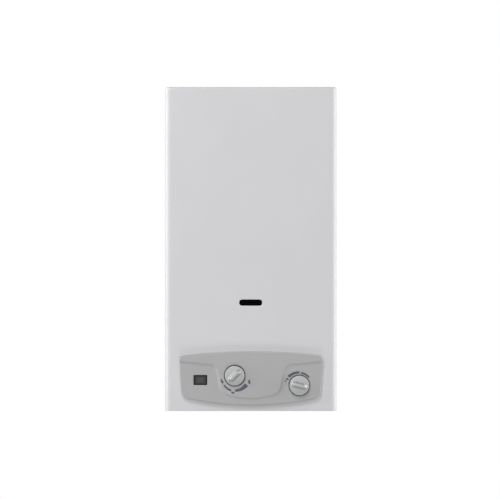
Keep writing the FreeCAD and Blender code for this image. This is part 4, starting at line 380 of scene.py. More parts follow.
class Finish:
    """A principled shader with its noises: short names for the nodes that the finishes below share."""

    def __init__(self, name, colour, rough, metal=0.0, coat=0.0, coat_rough=0.1, level=0.5):
        self.material = bpy.data.materials.new(name)
        self.material.use_nodes = True
        self.tree = self.material.node_tree
        self.shader = self.tree.nodes["Principled BSDF"]
        self.colour = colour
        self.set("Base Color", (*colour, 1))
        self.set("Roughness", rough)
        self.set("Metallic", metal)
        self.set("Coat Weight", coat)
        self.set("Coat Roughness", coat_rough)
        self.set("Specular IOR Level", level)
        self.place = self.node("ShaderNodeTexCoord").outputs["Object"]

    def node(self, kind, **values):
        """Adds a shader node with its settings."""
        made = self.tree.nodes.new(kind)
        for key, value in values.items():
            setattr(made, key, value)
        return made

    def set(self, socket, value):
        """Sets an input of the shader."""
        self.shader.inputs[socket].default_value = value

    def join(self, output, target):
        """Links an output to an input."""
        self.tree.links.new(output, target)

    def stretched(self, scale):
        """Object coordinates scaled along each axis: a pattern is drawn out along the axis of least scale."""
        mapping = self.node("ShaderNodeMapping")
        self.join(self.place, mapping.inputs["Vector"])
        mapping.inputs["Scale"].default_value = scale
        return mapping.outputs["Vector"]

    def noise(self, scale, detail, rough=0.5, at=None, distort=0.0):
        """Soft noise with scale waves to a metre and finer waves over them, as many as detail."""
        made = self.node("ShaderNodeTexNoise")
        self.join(at or self.place, made.inputs["Vector"])
        made.inputs["Scale"].default_value = scale
        made.inputs["Detail"].default_value = detail
        made.inputs["Roughness"].default_value = rough
        made.inputs["Distortion"].default_value = distort
        return made.outputs["Fac"]

    def cells(self, scale, output):
        """Scattered cells, by their colours or by the distance from their middles."""
        made = self.node("ShaderNodeTexVoronoi")
        self.join(self.place, made.inputs["Vector"])
        made.inputs["Scale"].default_value = scale
        return made.outputs[output]

    def paint(self, value, stops):
        """Gives the base colour by value: stops are (place, colour) pairs."""
        made = self.node("ShaderNodeValToRGB")
        self.join(value, made.inputs["Fac"])
        elements = made.color_ramp.elements
        while len(elements) < len(stops):
            elements.new(0.5)
        for element, (place, colour) in zip(elements, stops):
            element.position = place
            element.color = (*colour, 1)
        self.join(made.outputs["Color"], self.shader.inputs["Base Color"])

    def vary(self, value, amount, low=NOISE_LOW, high=NOISE_HIGH):
        """Lets the base colour run a little darker and lighter as a value goes from low to high."""
        dark = tuple(c * (1 - amount) for c in self.colour)
        light = tuple(min(1.0, c * (1 + amount)) for c in self.colour)
        self.paint(value, [(low, dark), (high, light)])

    def roughen(self, value, smooth, rough):
        """Lets the roughness run between two values with a noise."""
        made = self.node("ShaderNodeMapRange")
        self.join(value, made.inputs["Value"])
        made.inputs["From Min"].default_value = NOISE_LOW
        made.inputs["From Max"].default_value = NOISE_HIGH
        made.inputs["To Min"].default_value = smooth
        made.inputs["To Max"].default_value = rough
        self.join(made.outputs["Result"], self.shader.inputs["Roughness"])

    def bump(self, value, depth, strength, after=None):
        """A bump of the given depth in millimetres; bumps chain through after."""
        made = self.node("ShaderNodeBump")
        self.join(value, made.inputs["Height"])
        made.inputs["Distance"].default_value = depth * MM
        made.inputs["Strength"].default_value = strength
        if after:
            self.join(after, made.inputs["Normal"])
        self.join(made.outputs["Normal"], self.shader.inputs["Normal"])
        return made.outputs["Normal"]


def srgb(red, green, blue):
    """Linear colour of an 8-bit screen colour, by the sRGB curve."""
    shares = np.array([red, green, blue]) / 255
    return tuple(np.where(shares <= 0.04045, shares / 12.92, ((shares + 0.055) / 1.055) ** 2.4))


def casing_paint():
    """Light grey stoved paint: a faint cloudiness and the fine skin of sprayed paint."""
    finish = Finish("casing_paint", srgb(205, 205, 207), 0.4, coat=0.2, coat_rough=0.15, level=0.4)
    finish.vary(finish.noise(9, 2), 0.012)
    finish.roughen(finish.noise(40, 3), 0.38, 0.48)
    peel = finish.bump(finish.noise(900, 1), 0.02, 0.25)
    finish.bump(finish.noise(14, 1), 0.15, 0.08, peel)
    return finish.material


def fascia_plastic():
    """Mid-grey moulded plastic with a fine spark-eroded grain."""
    finish = Finish("fascia_plastic", srgb(167, 167, 168), 0.45)
    finish.vary(finish.noise(30, 3), 0.02)
    finish.roughen(finish.noise(60, 2), 0.4, 0.52)
    finish.bump(finish.noise(2200, 2), 0.02, 0.35)
    return finish.material


def knob_plastic():
    """Silver-lacquered knob: metal flake in a satin lacquer."""
    finish = Finish("knob_plastic", srgb(156, 157, 157), 0.34, metal=0.35, coat=0.15, coat_rough=0.2)
    finish.vary(finish.noise(1500, 2), 0.05)
    finish.roughen(finish.noise(120, 2), 0.3, 0.42)
    finish.bump(finish.noise(1800, 2), 0.015, 0.3)
    return finish.material


def mark_ink():
    """Blue-grey printing ink, a little thin in places."""
    finish = Finish("mark_ink", srgb(78, 78, 90), 0.55)
    finish.vary(finish.noise(400, 3), 0.14)
    finish.roughen(finish.noise(300, 2), 0.5, 0.65)
    return finish.material


def smoked_glass():
    """Dark pane that gives back little of the light on it; its near-black colour is painted shade, the unlit
    chamber seen through the slot.
    """
    # Painted shade: the near-black colour stands for the dark inside of the chamber behind the pane
    finish = Finish("smoked_glass", srgb(3, 3, 6), 0.08, level=0.01)
    finish.vary(finish.noise(25, 2), 0.2)
    finish.roughen(finish.noise(50, 2), 0.05, 0.12)
    return finish.material


def lens_plastic():
    """Smoke-tinted glossy lens, with the lit display behind it painted on: paler across the middle, and
    darker the nearer a place is to the lens's edges, by the larger of its shares of the half width and the
    half height. The darkening towards the edges is painted shade of the recess round the display."""
    finish = Finish("lens_plastic", srgb(60, 60, 61), 0.08, level=0.1)
    centre = (lens_low + lens_high) / 2 * MM + np.array([0, 0, LOWER_EDGE])
    half = (lens_high - lens_low) / 2 * MM
    centred = finish.node("ShaderNodeMapping")
    finish.join(finish.place, centred.inputs["Vector"])
    centred.inputs["Location"].default_value = -centre / half
    centred.inputs["Scale"].default_value = 1 / half
    away = finish.node("ShaderNodeVectorMath", operation="ABSOLUTE")
    finish.join(centred.outputs["Vector"], away.inputs[0])
    parts = finish.node("ShaderNodeSeparateXYZ")
    finish.join(away.outputs["Vector"], parts.inputs["Vector"])
    shade_towards_edges = finish.node("ShaderNodeMath", operation="MAXIMUM")
    finish.join(parts.outputs["X"], shade_towards_edges.inputs[0])
    finish.join(parts.outputs["Z"], shade_towards_edges.inputs[1])
    # Painted light and shade: the lit display seen through the lens, with painted shade towards its edges
    finish.paint(shade_towards_edges.outputs["Value"], [
        (0.1, srgb(78, 78, 79)), (0.5, srgb(70, 70, 71)), (0.8, srgb(46, 46, 47)), (0.97, srgb(22, 22, 23)),
    ])
    finish.roughen(finish.noise(80, 2), 0.06, 0.12)
    return finish.material


def lcd():
    """Grey display glass with the faint grain of its unlit cells."""
    finish = Finish("lcd", srgb(96, 99, 98), 0.3)
    finish.vary(finish.cells(260, "Color"), 0.18)
    finish.roughen(finish.noise(90, 2), 0.22, 0.36)
    return finish.material


def coated_sheet(name, colour, rough, spangle):
    """Coated sheet: flat crystals that each catch the light a little differently."""
    finish = Finish(name, colour, rough, metal=0.85)
    finish.vary(finish.cells(spangle, "Color"), 0.1, 0.2, 0.8)
    finish.roughen(finish.cells(spangle, "Color"), rough - 0.08, rough + 0.12)
    finish.bump(finish.noise(spangle * 3, 2), 0.03, 0.2)
    return finish.material


def galvanised_sheet():
    """Zinc-coated sheet with broad crystals."""
    return coated_sheet("galvanised_sheet", srgb(176, 180, 183), 0.42, 90)


def aluminised_sheet():
    """Aluminium-coated sheet with fine crystals."""
    return coated_sheet("aluminised_sheet", srgb(188, 188, 184), 0.36, 220)


def drawn_metal(name, colour, rough, grain, along=(1.0, 1.0, 0.06)):
    """Turned, drawn or plated metal: fine scratches drawn out along one axis over a soft tarnish."""
    finish = Finish(name, colour, rough, metal=1.0)
    finish.vary(finish.noise(35, 4), 0.09)
    lines = finish.noise(grain, 2, at=finish.stretched(along))
    finish.roughen(lines, rough - 0.08, rough + 0.12)
    finish.bump(lines, 0.02, 0.25)
    return finish.material


def zinc_screw():
    """Screws with a pale yellow plating."""
    return drawn_metal("zinc_screw", srgb(190, 190, 178), 0.3, 900)


def spindle_steel():
    """Turned spindles, whose scratches run fore and aft."""
    return drawn_metal("spindle_steel", srgb(170, 172, 175), 0.25, 1400, along=(1.0, 0.05, 1.0))


def lever_steel():
    """Bright spring steel."""
    return drawn_metal("lever_steel", srgb(182, 184, 188), 0.28, 1200)


def gas_tube():
    """Plated gas pipe and pilot tube."""
    return drawn_metal("gas_tube", srgb(178, 180, 182), 0.33, 700)


def burner_steel():
    """Steel of the burner: heat tints that go from straw to blue in blooms."""
    finish = Finish("burner_steel", srgb(150, 146, 142), 0.4, metal=0.95)
    finish.paint(finish.noise(22, 5, 0.6, distort=0.8), [
        (0.3, srgb(158, 155, 152)), (0.5, srgb(150, 132, 104)), (0.62, srgb(112, 96, 104)),
        (0.75, srgb(86, 92, 112)),
    ])
    finish.roughen(finish.noise(160, 3), 0.32, 0.55)
    finish.bump(finish.noise(420, 2), 0.03, 0.3)
    return finish.material


def copper():
    """Copper sheet and tube: bright metal with brown tarnish and a few darker blooms."""
    finish = Finish("copper", srgb(186, 110, 78), 0.32, metal=1.0)
    finish.paint(finish.noise(26, 5, 0.62, distort=0.6), [
        (0.3, srgb(205, 126, 90)), (0.52, srgb(184, 106, 74)), (0.66, srgb(140, 78, 58)),
        (0.8, srgb(112, 66, 58)),
    ])
    finish.roughen(finish.noise(70, 4), 0.24, 0.5)
    finish.bump(finish.noise(500, 2), 0.03, 0.2)
    return finish.material


def cast_metal(name, colour, rough):
    """Sand or die cast metal: grainy skin with shallow hollows."""
    finish = Finish(name, colour, rough, metal=0.9)
    finish.vary(finish.noise(60, 4), 0.12)
    finish.roughen(finish.noise(180, 3), rough - 0.07, rough + 0.13)
    grain = finish.bump(finish.noise(700, 3, 0.6), 0.08, 0.35)
    finish.bump(finish.noise(90, 2), 0.2, 0.12, grain)
    return finish.material


def cast_brass():
    """Brass of the water valve, the connections and the injectors."""
    return cast_metal("cast_brass", srgb(186, 156, 96), 0.4)


def cast_aluminium():
    """Aluminium of the gas valve."""
    return cast_metal("cast_aluminium", srgb(172, 174, 176), 0.45)


def moulding(name, colour, rough, grain=1400, amount=0.06):
    """Moulded plastic or rubber: even colour, satin grain."""
    finish = Finish(name, colour, rough)
    finish.vary(finish.noise(50, 3), amount)
    finish.roughen(finish.noise(90, 2), rough - 0.06, rough + 0.1)
    finish.bump(finish.noise(grain, 2), 0.03, 0.3)
    return finish.material


def black_plastic():
    """Black moulded cases."""
    return moulding("black_plastic", srgb(38, 38, 40), 0.5)


def sensor_plastic():
    """Dark brown moulded sensor bodies."""
    return moulding("sensor_plastic", srgb(58, 54, 50), 0.48)


def diaphragm_rubber():
    """Matt black rubber."""
    return moulding("diaphragm_rubber", srgb(30, 30, 31), 0.7, 900)


def lead_rubber():
    """Pale silicone sleeve of the leads."""
    return moulding("lead_rubber", srgb(196, 190, 178), 0.55, 1200)


def ceramic():
    """Smooth off-white insulators."""
    return moulding("ceramic", srgb(232, 228, 218), 0.28, 800, 0.03)


def solenoid_can():
    """Dark lacquered coil cans."""
    return moulding("solenoid_can", srgb(70, 72, 78), 0.35, 1800)


def circuit_board():
    """Green board: cells of lighter and darker lacquer, and low bumps."""
    finish = Finish("circuit_board", srgb(38, 92, 58), 0.35, coat=0.4)
    finish.vary(finish.cells(700, "Color"), 0.2)
    finish.bump(finish.cells(500, "Distance"), 0.03, 0.3)
    return finish.material


def filter_mesh():
    """Fine wire gauze: close cells that stand up from uneven steel."""
    finish = Finish("filter_mesh", srgb(186, 188, 190), 0.35, metal=1.0)
    finish.vary(finish.noise(900, 1), 0.18)
    finish.bump(finish.cells(1600, "Distance"), 0.1, 0.7)
    return finish.material


def cell_wrap():
    """Plain dark wrap of a round cell."""
    finish = Finish("cell_wrap", srgb(46, 50, 58), 0.3, metal=0.3, coat=0.3)
    finish.vary(finish.noise(300, 2), 0.1)
    finish.roughen(finish.noise(200, 2), 0.22, 0.36)
    return finish.material


SLOT_FINISHES = (
    casing_paint, galvanised_sheet, zinc_screw, smoked_glass, fascia_plastic, knob_plastic, lens_plastic,
    black_plastic, circuit_board, lcd, spindle_steel, cast_brass, diaphragm_rubber, filter_mesh, lever_steel,
    cast_aluminium, solenoid_can, burner_steel, gas_tube, ceramic, copper, sensor_plastic, aluminised_sheet,
    cell_wrap, lead_rubber,
)
finishes = {make.__name__: make() for make in (*SLOT_FINISHES, mark_ink)}


def dress_nodes():
    """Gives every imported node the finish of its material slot."""
    for row in frame["record"]["subparts"]:
        node = frame["nodes"][row["node"]]
        node.data.materials.clear()
        node.data.materials.append(finishes[row["material_slot"]])


# Casing

def casing_line(inset, sides=10, corners=12, front=60):
    """Plan line of the casing at each inset: up a side, round a quarter circle, along the front, and back.

    The corner's radius is the edge radius less the inset and never under nothing, so lines stay parallel."""
    inset = inset[:, None]
    radius = np.maximum(EDGE_RADIUS - inset, 0)
    half = CASING_HALF - inset
    face = CASING_FRONT + inset
    run = np.linspace(0, 1, sides)[:-1]
    angle = np.linspace(0, QUARTER, corners)[:-1]
    middle = np.linspace(-1, 1, front)
    side_depth = CASING_REAR + (face + radius - CASING_REAR) * run
    corner_across = half - radius + radius * np.cos(angle)
    corner_depth = face + radius - radius * np.sin(angle)
    across = np.hstack([
        np.broadcast_to(-half, side_depth.shape), -corner_across, (half - radius) * middle,
        corner_across[:, ::-1], np.broadcast_to(half, side_depth.shape),
    ])
    depth = np.hstack([
        side_depth, corner_depth, np.broadcast_to(face, (len(inset), front)), corner_depth[:, ::-1],
        side_depth[:, ::-1],
    ])
    return across, depth


def casing_front(across, _up):
    """Depth of the casing's front, the same at every place."""
    return np.full(across.shape, CASING_FRONT)


def make_casing(rows=118):
    """The folded casing: lower lip, fold, wrap, rounded top edge and top lip are one grid, whose rows are the
    plan line at an inset and a height. The front is opened for the sight slot and behind the fascia."""
    quarter = np.linspace(0, QUARTER, num=7)
    shoulder = CASING_TALL - TOP_RADIUS
    inset = np.concatenate([
        [LOW_LIP], FOLD_RADIUS * (1 - np.sin(quarter)), np.zeros(rows), TOP_RADIUS * (1 - np.cos(quarter)),
        [TOP_LIP],
    ])
    up = np.concatenate([
        [0], FOLD_RADIUS * (1 - np.cos(quarter)), np.linspace(FOLD_RADIUS, shoulder, rows + 2)[1:-1],
        CASING_TALL - TOP_RADIUS * (1 - np.sin(quarter)), [CASING_TALL],
    ])
    across, depth = casing_line(inset)
    places = stack(across, depth, up[:, None])
    flat = places[..., ::2]
    height = places[..., 2]
    front = np.abs(depth - CASING_FRONT) < TINY
    near_slot = front & (np.abs(across) < SLOT_HALF + SLOT_SPARE)
    near_slot &= np.abs(height - SLOT_LEVEL) < SLOT_RISE + SLOT_SPARE
    slot_cells, slot_ring, slot_square = ring_round(flat, near_slot)
    near_seat = front & (np.abs(across) < fascia_half_width(height) - SEAT_INSET)
    near_seat &= height < TOP_CORNER + TOP_RISE - SEAT_INSET
    near_seat &= height > LOW_CORNER - LOW_RISE + SEAT_INSET
    seat_cells, seat_ring, _ = ring_round(flat, near_seat)

    def slot_outline(grow):
        """The slot's round-cornered outline, grown all round."""
        half, rise, corner = SLOT_HALF + grow, SLOT_RISE + grow, SLOT_CORNER + grow
        return round_slot(slot_square, (0, SLOT_LEVEL), half, rise, corner)

    skin = Surface()
    skin.grid(places, dropped=slot_cells | seat_cells)
    skin.grid(between(slot_ring, slot_outline(SLOT_LIP), casing_front, steps=3), close_columns=True)
    skin.grid(np.array(rolled_edge(slot_outline, casing_front, SLOT_LIP, steps=4)), close_columns=True)
    seat_outline = fascia_rim(seat_ring, SEAT_INSET)
    skin.grid(between(seat_ring, seat_outline, casing_front, steps=4), close_columns=True)
    thicken(skin.piece("casing_shell", "casing_paint", "front_casing"), CASING_WALL)


# Fascia

def fascia_warp(across, up):
    """Bends a plain rectangle into the fascia: the half width leans from the low to the top one, and the low
    and top edges bow by parabolas."""
    share = (up - LOW_CORNER) / (TOP_CORNER - LOW_CORNER)
    half = LOW_HALF + (TOP_HALF - LOW_HALF) * share
    across = across / FASCIA_HALF * half
    low = LOW_CORNER - LOW_RISE * (1 - (across / LOW_HALF) ** 2)
    top = TOP_CORNER + TOP_RISE * (1 - (across / TOP_HALF) ** 2)
    return np.stack([across, low + (top - low) * share], -1)


def fascia_half_width(up):
    """Half width of the fascia's outline at a height, which leans between the two corners' heights."""
    share = np.clip((up - LOW_CORNER) / (TOP_CORNER - LOW_CORNER), 0, 1)
    return LOW_HALF + (TOP_HALF - LOW_HALF) * share


def fascia_rim(ring, inset):
    """A straight-sided ring carried out to the fascia's outline less an inset: it is scaled to the plain
    rectangle, its corners are rounded, and it is bent. The corners' radius loses a share of the inset."""
    middle = (ring.max(0) + ring.min(0)) / 2
    size = (ring.max(0) - ring.min(0)) / 2
    full = np.array([FASCIA_HALF, FASCIA_SPAN]) - inset
    scaled = (ring - middle) / size * full
    loss = ROUND_LOSS * min(inset, TOP_ROUND - LEAST_ROUND)
    edge = round_corners(scaled, full, np.where(scaled[:, 1:] > 0, TOP_ROUND, LOW_ROUND) - loss)
    return fascia_warp(edge[:, 0], FASCIA_MIDDLE + edge[:, 1])


def raised(across, up):
    """Share of the wing step at a place: 1 on the band along the top and on the tongue, 0 on the wings. The
    band's lower edge slopes up beside its level middle. The tongue narrows downwards, and a parabola makes
    its foot sag. Where the two meet, and at the tongue's corners, the distances run together softly."""
    aside = np.abs(across)
    slope = np.clip((aside - BAND_LEVEL_HALF) / (TOP_HALF - BAND_LEVEL_HALF), 0, BAND_SLOPE_END)
    band = up - (BAND_INNER + (BAND_OUTER - BAND_INNER) * slope)
    lean = np.clip((up - TONGUE_FOOT) / (BAND_INNER - TONGUE_FOOT), 0, 1)
    tongue_half = TONGUE_LOW_HALF + (TONGUE_TOP_HALF - TONGUE_LOW_HALF) * lean
    tongue_low = TONGUE_LOW + TONGUE_SAG * (across / TONGUE_SAG_HALF) ** 2
    tongue = soft_least(tongue_half - aside, up - tongue_low, TONGUE_CORNER)
    inside = -soft_least(-band, -tongue, BAND_CORNER)
    return smooth_step(inside / STEP_RUN)


def fascia_face(across, up):
    """Depth of the fascia's front: the step's depth behind the band and tongue on the wings."""
    return FASCIA_FRONT + FASCIA_STEP * (1 - raised(across, up))


def fascia_back(across, up):
    """Depth of the fascia's inner face, a wall's thickness behind its front."""
    return fascia_face(across, up) + FASCIA_WALL


def knob_window(places, spindle):
    """A knob's round window in the fascia's grid: the cells it takes out, the ring round them, and its
    outline as a function of how far it is grown."""
    radius = KNOB_RADIUS + KNOB_GAP
    away = np.linalg.norm(places - np.array(spindle), axis=-1)
    cells, ring, _ = ring_round(places, away < radius + FASCIA_EDGE + WINDOW_SPARE)
    return cells, ring, lambda grow: round_circle(ring, spindle, radius + grow)


def display_window(places):
    """The display's round-cornered window, given as a knob's is."""
    centre = ((lens_low + lens_high) / 2)[[0, 2]]
    half, rise = ((lens_high - lens_low) / 2)[[0, 2]] + DISPLAY_GAP
    away = np.abs(places - centre) - FASCIA_EDGE - WINDOW_SPARE
    cells, ring, square = ring_round(places, (away[..., 0] < half) & (away[..., 1] < rise))

    def outline(grow):
        """The window's round-cornered outline, grown all round."""
        return round_slot(square, centre, half + grow, rise + grow, DISPLAY_CORNER + grow)

    return cells, ring, outline


def make_fascia(columns=221, rows=81):
    """The moulded fascia: a bent grid with its windows, rounded over at every edge, with walls that run back
    to the casing and an inner face a wall's thickness behind."""
    across = np.linspace(FASCIA_BORDER - FASCIA_HALF, FASCIA_HALF - FASCIA_BORDER, columns)
    up = np.linspace(LOW_CORNER + FASCIA_BORDER, TOP_CORNER - FASCIA_BORDER, rows)
    plain = np.stack(np.meshgrid(across, up), -1)
    places = fascia_warp(plain[..., 0], plain[..., 1])
    windows = [knob_window(places, TEMPERATURE_AT), knob_window(places, POWER_AT), display_window(places)]
    dropped = np.any([cells for cells, _, _ in windows], axis=0)
    rim = border_ring(plain)
    bent = fascia_warp(rim[:, 0], rim[:, 1])
    shell = Surface()
    for depth, grow, inset, flip in (
        (fascia_face, FASCIA_EDGE, FASCIA_EDGE, False), (fascia_back, 0, FASCIA_WALL, True),
    ):
        shell.grid(lay(places, depth), dropped=dropped, flip=flip)
        for _, ring, outline in windows:
            shell.grid(between(ring, outline(grow), depth, steps=3), close_columns=True, flip=flip)
        border = between(bent, fascia_rim(rim, inset), depth, steps=5)
        shell.grid(border, close_columns=True, flip=not flip)
    for _, _, outline in windows:
        edge = rolled_edge(outline, fascia_face, FASCIA_EDGE, steps=6)
        edge.append(lay(outline(0), fascia_back))
        shell.grid(np.array(edge), close_columns=True)
    inner = fascia_rim(rim, FASCIA_WALL)
    wall = rolled_edge(lambda inset: fascia_rim(rim, inset), fascia_face, FASCIA_EDGE, steps=6)
    wall.append(lay(fascia_rim(rim, 0), casing_front))
    wall.append(lay(inner, casing_front))
    wall.append(lay(inner, fascia_back))
    shell.grid(np.array(wall), close_columns=True, flip=True)
    shell.piece("fascia_moulding", "fascia_plastic", "control_fascia")


# Knobs

def grip_rise(along, aside):
    """Height of the grip over the knob's face, 0 to 1: a ridge whose sides run out into the face by a smooth
    cubic, narrowed and rounded at its tips and a little lower there, with a groove on its pointer end."""
    share = np.abs(along) / GRIP_REACH
    half = GRIP_HALF * (1 - TIP_NARROWING * smooth_step((share - TIP_MIDDLE) / TIP_RUN))
    inside = soft_least(half - np.abs(aside), GRIP_REACH - np.abs(along), GRIP_CORNER)
    body = smooth_step(inside / GRIP_FLANK - 0.5)
    crown = 1 - TIP_DROP * (along / GRIP_REACH) ** 2 - SIDE_DROP * (aside / half) ** 2
    groove = smooth_step((GROOVE_HALF - np.abs(aside)) / GROOVE_SIDE)
    groove = groove * smooth_step((along - GROOVE_START) / GROOVE_END)
    groove = groove * smooth_step((GRIP_REACH - GROOVE_SHORT - along) / GROOVE_END)
    return body * (crown - GROOVE_DEPTH * groove)


def make_knob(name, node, body, centre, pointer):
    """A turned knob with its grip: a fine grid under the grip, rings out to the round edge, and the skirt.
    The face is a shallow dome whose height falls with the square of the distance from the spindle."""
    cos, sin = math.cos(pointer), math.sin(pointer)
    flat = KNOB_RADIUS - KNOB_EDGE

    def turned_out(places, depth):
        """Sets places along and aside of the pointer at a depth, round the spindle."""
        along, aside = places[..., 0], places[..., 1]
        return stack(centre[0] + along * cos - aside * sin, depth, centre[1] + along * sin + aside * cos)

    def face(places):
        """Depth of the dome with the grip on it."""
        along, aside = places[..., 0], places[..., 1]
        dome = KNOB_DOME * (1 - (along ** 2 + aside ** 2) / flat ** 2)
        return KNOB_FACE - dome + (GRIP_FRONT + dome - KNOB_FACE) * grip_rise(along, aside)

    along = np.linspace(-PATCH_REACH, PATCH_REACH, num=103)
    aside = np.linspace(-PATCH_HALF, PATCH_HALF, num=49)
    patch = np.stack(np.meshgrid(along, aside), -1)
    rim = border_ring(patch)
    share = np.linspace(0, 1, num=12)[:, None, None]
    rings = rim + (round_circle(rim, (0, 0), flat) - rim) * share
    surface = Surface()
    surface.grid(turned_out(patch, face(patch)))
    surface.grid(turned_out(rings, face(rings)), close_columns=True, flip=True)
    quarter = np.linspace(0, QUARTER, num=7)
    inside = KNOB_RADIUS - KNOB_WALL
    roof = KNOB_FACE + KNOB_WALL
    reach = np.concatenate([
        flat + KNOB_EDGE * np.sin(quarter), [KNOB_RADIUS, KNOB_RADIUS - SKIRT_EDGE, inside, inside, 0],
    ])
    depth = np.concatenate([
        KNOB_FACE + KNOB_EDGE * (1 - np.cos(quarter)),
        [KNOB_SKIRT - SKIRT_EDGE, KNOB_SKIRT, KNOB_SKIRT, roof, roof],
    ])
    circle = round_circle(rim, (0, 0), 1.0)
    surface.grid(turned_out(circle * reach[:, None, None], depth[:, None]), close_columns=True, flip=True)
    surface.piece(name, "knob_plastic", node, body, sharp=40)


# Printed scales

def printed_mark(name, centre, front, start, end, inner, outer, steps=48):
    """A printed mark round a knob: between two radii that each go evenly from their first to their last
    value, over angles from start to end."""
    angle = np.radians(np.linspace(start, end, steps))
    radius = np.stack([np.linspace(*inner, steps), np.linspace(*outer, steps)])
    across = centre[0] + radius * np.cos(angle)
    up = centre[1] + radius * np.sin(angle)
    surface = Surface()
    surface.grid(stack(across, front - INK_RISE, up), flip=start < end)
    thicken(surface.piece(name, "fascia_plastic", finish="mark_ink"), INK_WALL)


def make_marks():
    """The scales round the two knobs: what the dials show, as plain marks."""
    at, tongue = TEMPERATURE_AT, FASCIA_FRONT
    printed_mark("temperature_least_mark", at, tongue, 194, 213, (24.4, 23.2), (26.6, 27.4), 12)
    printed_mark("temperature_low_arc", at, tongue, 221, 257, (24.6, 26.0), (27.4, 29.6))
    printed_mark("temperature_middle_tick", at, tongue, 259, 269, (29.4, 29.7), (32.6, 33.0), 8)
    printed_mark("temperature_high_wedge", at, tongue, 271, 323, (25.2, 23.6), (29.2, 30.8))
    printed_mark("temperature_most_mark", at, tongue, 331, 344, (28.6, 25.6), (32.6, 29.2), 10)
    at, wing = POWER_AT, FASCIA_FRONT + FASCIA_STEP
    printed_mark("power_off_dash", at, wing, 161, 166, (24.8, 25.0), (27.6, 27.8), 8)
    printed_mark("power_least_mark", at, wing, 149, 156, (22.2, 22.4), (27.0, 27.0), 8)
    printed_mark("power_full_arc", at, wing, 142, 89, (22.6, 21.8), (27.8, 25.2))
    printed_mark("power_low_arc", at, wing, 82, 40, (21.4, 21.8), (24.4, 24.4))


# Flue collar and connections

def turn_rows(surface, radius, height, centre, sides):
    """Turns rows of radii at their heights about an upright axis. A radius may also change round the turn."""
    angle = np.linspace(0, TURN, sides, endpoint=False)
    across = centre[0] + radius * np.cos(angle)
    depth = centre[1] + radius * np.sin(angle)
    surface.grid(stack(across, depth, height), close_columns=True)


def make_collar():
    """The flue collar: a turned sheet with a flat foot that runs up into the wall, and a rounded rim."""
    low, high = node_box("flue_collar")
    foot = (high[0] - low[0]) / 2
    base, top = low[2], high[2]
    sheet = COLLAR_OUTER - COLLAR_BORE
    flat = base + sheet
    profile = np.array([
        (COLLAR_BORE, base), (foot, base), (foot, flat),
        (COLLAR_OUTER + COLLAR_FILLET, flat), (COLLAR_OUTER + COLLAR_EASE, flat + COLLAR_EASE),
        (COLLAR_OUTER, flat + COLLAR_FILLET), (COLLAR_OUTER, top - COLLAR_RIM),
        (COLLAR_OUTER - RIM_EASE, top - RIM_EASE), (COLLAR_OUTER - sheet / 2, top),
        (COLLAR_BORE + RIM_EASE, top - RIM_EASE), (COLLAR_BORE, top - COLLAR_RIM), (COLLAR_BORE, base),
    ])
    surface = Surface()
    turn_rows(surface, profile[:, :1], profile[:, 1:], (low + high) / 2, sides=128)
    surface.piece("flue_collar_ring", "aluminised_sheet", "flue_collar", sharp=50)


def make_nipple(node, sides=72, rows=113):
    """A threaded connection with its lock nut.

    The thread is a saw of radius over height and turn: each point's phase is its height over the pitch less
    its share of a turn, and the tooth's depth fades in and out at the ends. The nut's sides are where a
    hexagon and two chamfer cones meet, whichever lies nearer the axis."""
    low, high = node_box(node)
    middle = (low + high) / 2
    foot = low[2]
    start = foot + PIPE_CHAMFER
    angle = np.linspace(0, TURN, sides, endpoint=False)
    height = np.linspace(start, NUT_LOW, rows)[:, None]
    phase = np.abs(((height / THREAD_PITCH - angle / TURN) % 1) * 2 - 1)
    fade = np.clip((height - start) / THREAD_LEAD_IN, 0, 1)
    fade = fade * np.clip((NUT_LOW - height) / THREAD_RUN_OUT, 0, 1)
    pipe = np.array([
        (PIPE_BORE, NUT_HIGH), (PIPE_BORE, foot + BORE_CHAMFER), (PIPE_BORE + BORE_CHAMFER, foot),
        (THREAD_OUTER - PIPE_LAND, foot), (THREAD_OUTER, start),
    ])
    side = TURN / 6
    flat = NUT_HALF / np.cos((angle + side / 2) % side - side / 2)
    nut = np.array([
        (THREAD_OUTER, NUT_LOW), *((NUT_HALF + wide, NUT_LOW + deep) for deep, wide in NUT_BEVEL),
        *((NUT_HALF + wide, NUT_HIGH - deep) for deep, wide in reversed(NUT_BEVEL)), (PIPE_BORE, NUT_HIGH),
    ])
    surface = Surface()
    turn_rows(surface, THREAD_OUTER - THREAD_TOOTH * (1 - phase) * fade, height, middle, sides)
    turn_rows(surface, pipe[:, :1], pipe[:, 1:], middle, sides)
    turn_rows(surface, np.minimum(flat, nut[:, :1]), nut[:, 1:], middle, sides)
    surface.piece(f"{node}_threaded", "cast_brass", node, sharp=30)


# Studio

def area_light(name, place, aim, width, height, power):
    """A soft box that faces a point."""
    lamp = bpy.data.lights.new(name, "AREA")
    lamp.shape = "RECTANGLE"
    lamp.size = width
    lamp.size_y = height
    lamp.energy = power
    box = bpy.data.objects.new(name, lamp)
    box.location = place
    box.rotation_mode = "QUATERNION"
    box.rotation_quaternion = (Vector(aim) - Vector(place)).to_track_quat("-Z", "Y")
    bpy.context.scene.collection.objects.link(box)


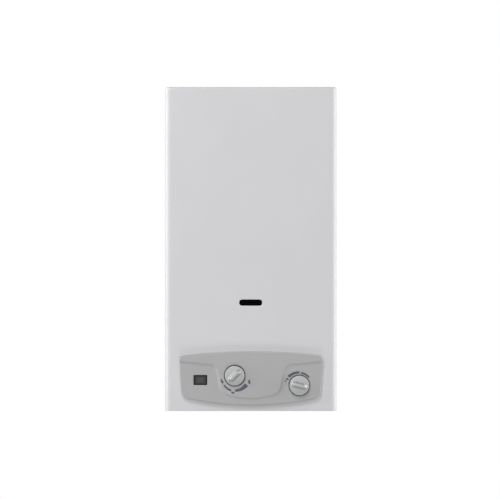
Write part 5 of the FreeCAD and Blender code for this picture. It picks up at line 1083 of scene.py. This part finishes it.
def seen_white(tree):
    """1 for rays from the camera, off gloss and through glass, and 0 for light that falls on things."""
    path = tree.nodes.new("ShaderNodeLightPath")
    seen = path.outputs["Is Camera Ray"]
    for ray in ("Is Glossy Ray", "Is Transmission Ray"):
        either = tree.nodes.new("ShaderNodeMath")
        either.operation = "MAXIMUM"
        tree.links.new(seen, either.inputs[0])
        tree.links.new(path.outputs[ray], either.inputs[1])
        seen = either.outputs["Value"]
    return seen


def make_studio(centre):
    """White surroundings, and soft boxes in front of the hanging object, beside it and low before it."""
    world = bpy.data.worlds.new("studio")
    bpy.context.scene.world = world
    world.use_nodes = True
    tree = world.node_tree
    ground = tree.nodes["Background"]
    ground.inputs["Color"].default_value = (1, 1, 1, 1)
    strength = tree.nodes.new("ShaderNodeMapRange")
    tree.links.new(seen_white(tree), strength.inputs["Value"])
    strength.inputs["To Min"].default_value = FALLING_LIGHT
    strength.inputs["To Max"].default_value = SEEN_LIGHT
    tree.links.new(strength.outputs["Result"], ground.inputs["Strength"])
    for name, place, aim, width, height, power in BOXES:
        area_light(name, centre + Vector(place), centre + Vector(aim), width, height, power)


def make_camera(centre):
    """Straight at the front, so far off that the casing's front has the picture's scale, and shifted so that
    the object's middle lies a little right of the picture's middle and above it."""
    wide = PICTURE_WIDE / PIXELS_PER_MM * MM
    aside = PIXELS_RIGHT / PIXELS_PER_MM * MM
    below = PIXELS_UP / PIXELS_PER_MM * MM
    data = bpy.data.cameras.new("camera")
    data.lens = LENS
    data.sensor_width = SENSOR
    camera = bpy.data.objects.new("camera", data)
    camera.location = (-aside, CASING_FRONT * MM - wide * LENS / SENSOR, centre.z - below)
    camera.rotation_euler = (QUARTER, 0, 0)
    bpy.context.scene.collection.objects.link(camera)
    bpy.context.scene.camera = camera


dress_nodes()
make_casing()
make_fascia()
make_knob("temperature_knob_silver", "temperature_knob", "temperature_knob_body", TEMPERATURE_AT,
          TEMPERATURE_POINTER)
make_knob("power_knob_silver", "power_knob", "power_knob_body", POWER_AT, POWER_POINTER)
make_marks()
make_collar()
for connection in ("cold_inlet_nipple", "hot_outlet_nipple", "gas_inlet_nipple"):
    make_nipple(connection)

middle = Vector((0, 0, LOWER_EDGE + CASING_TALL * MM / 2))
make_studio(middle)
make_camera(middle)
bpy.context.scene.view_settings.view_transform = "Standard"
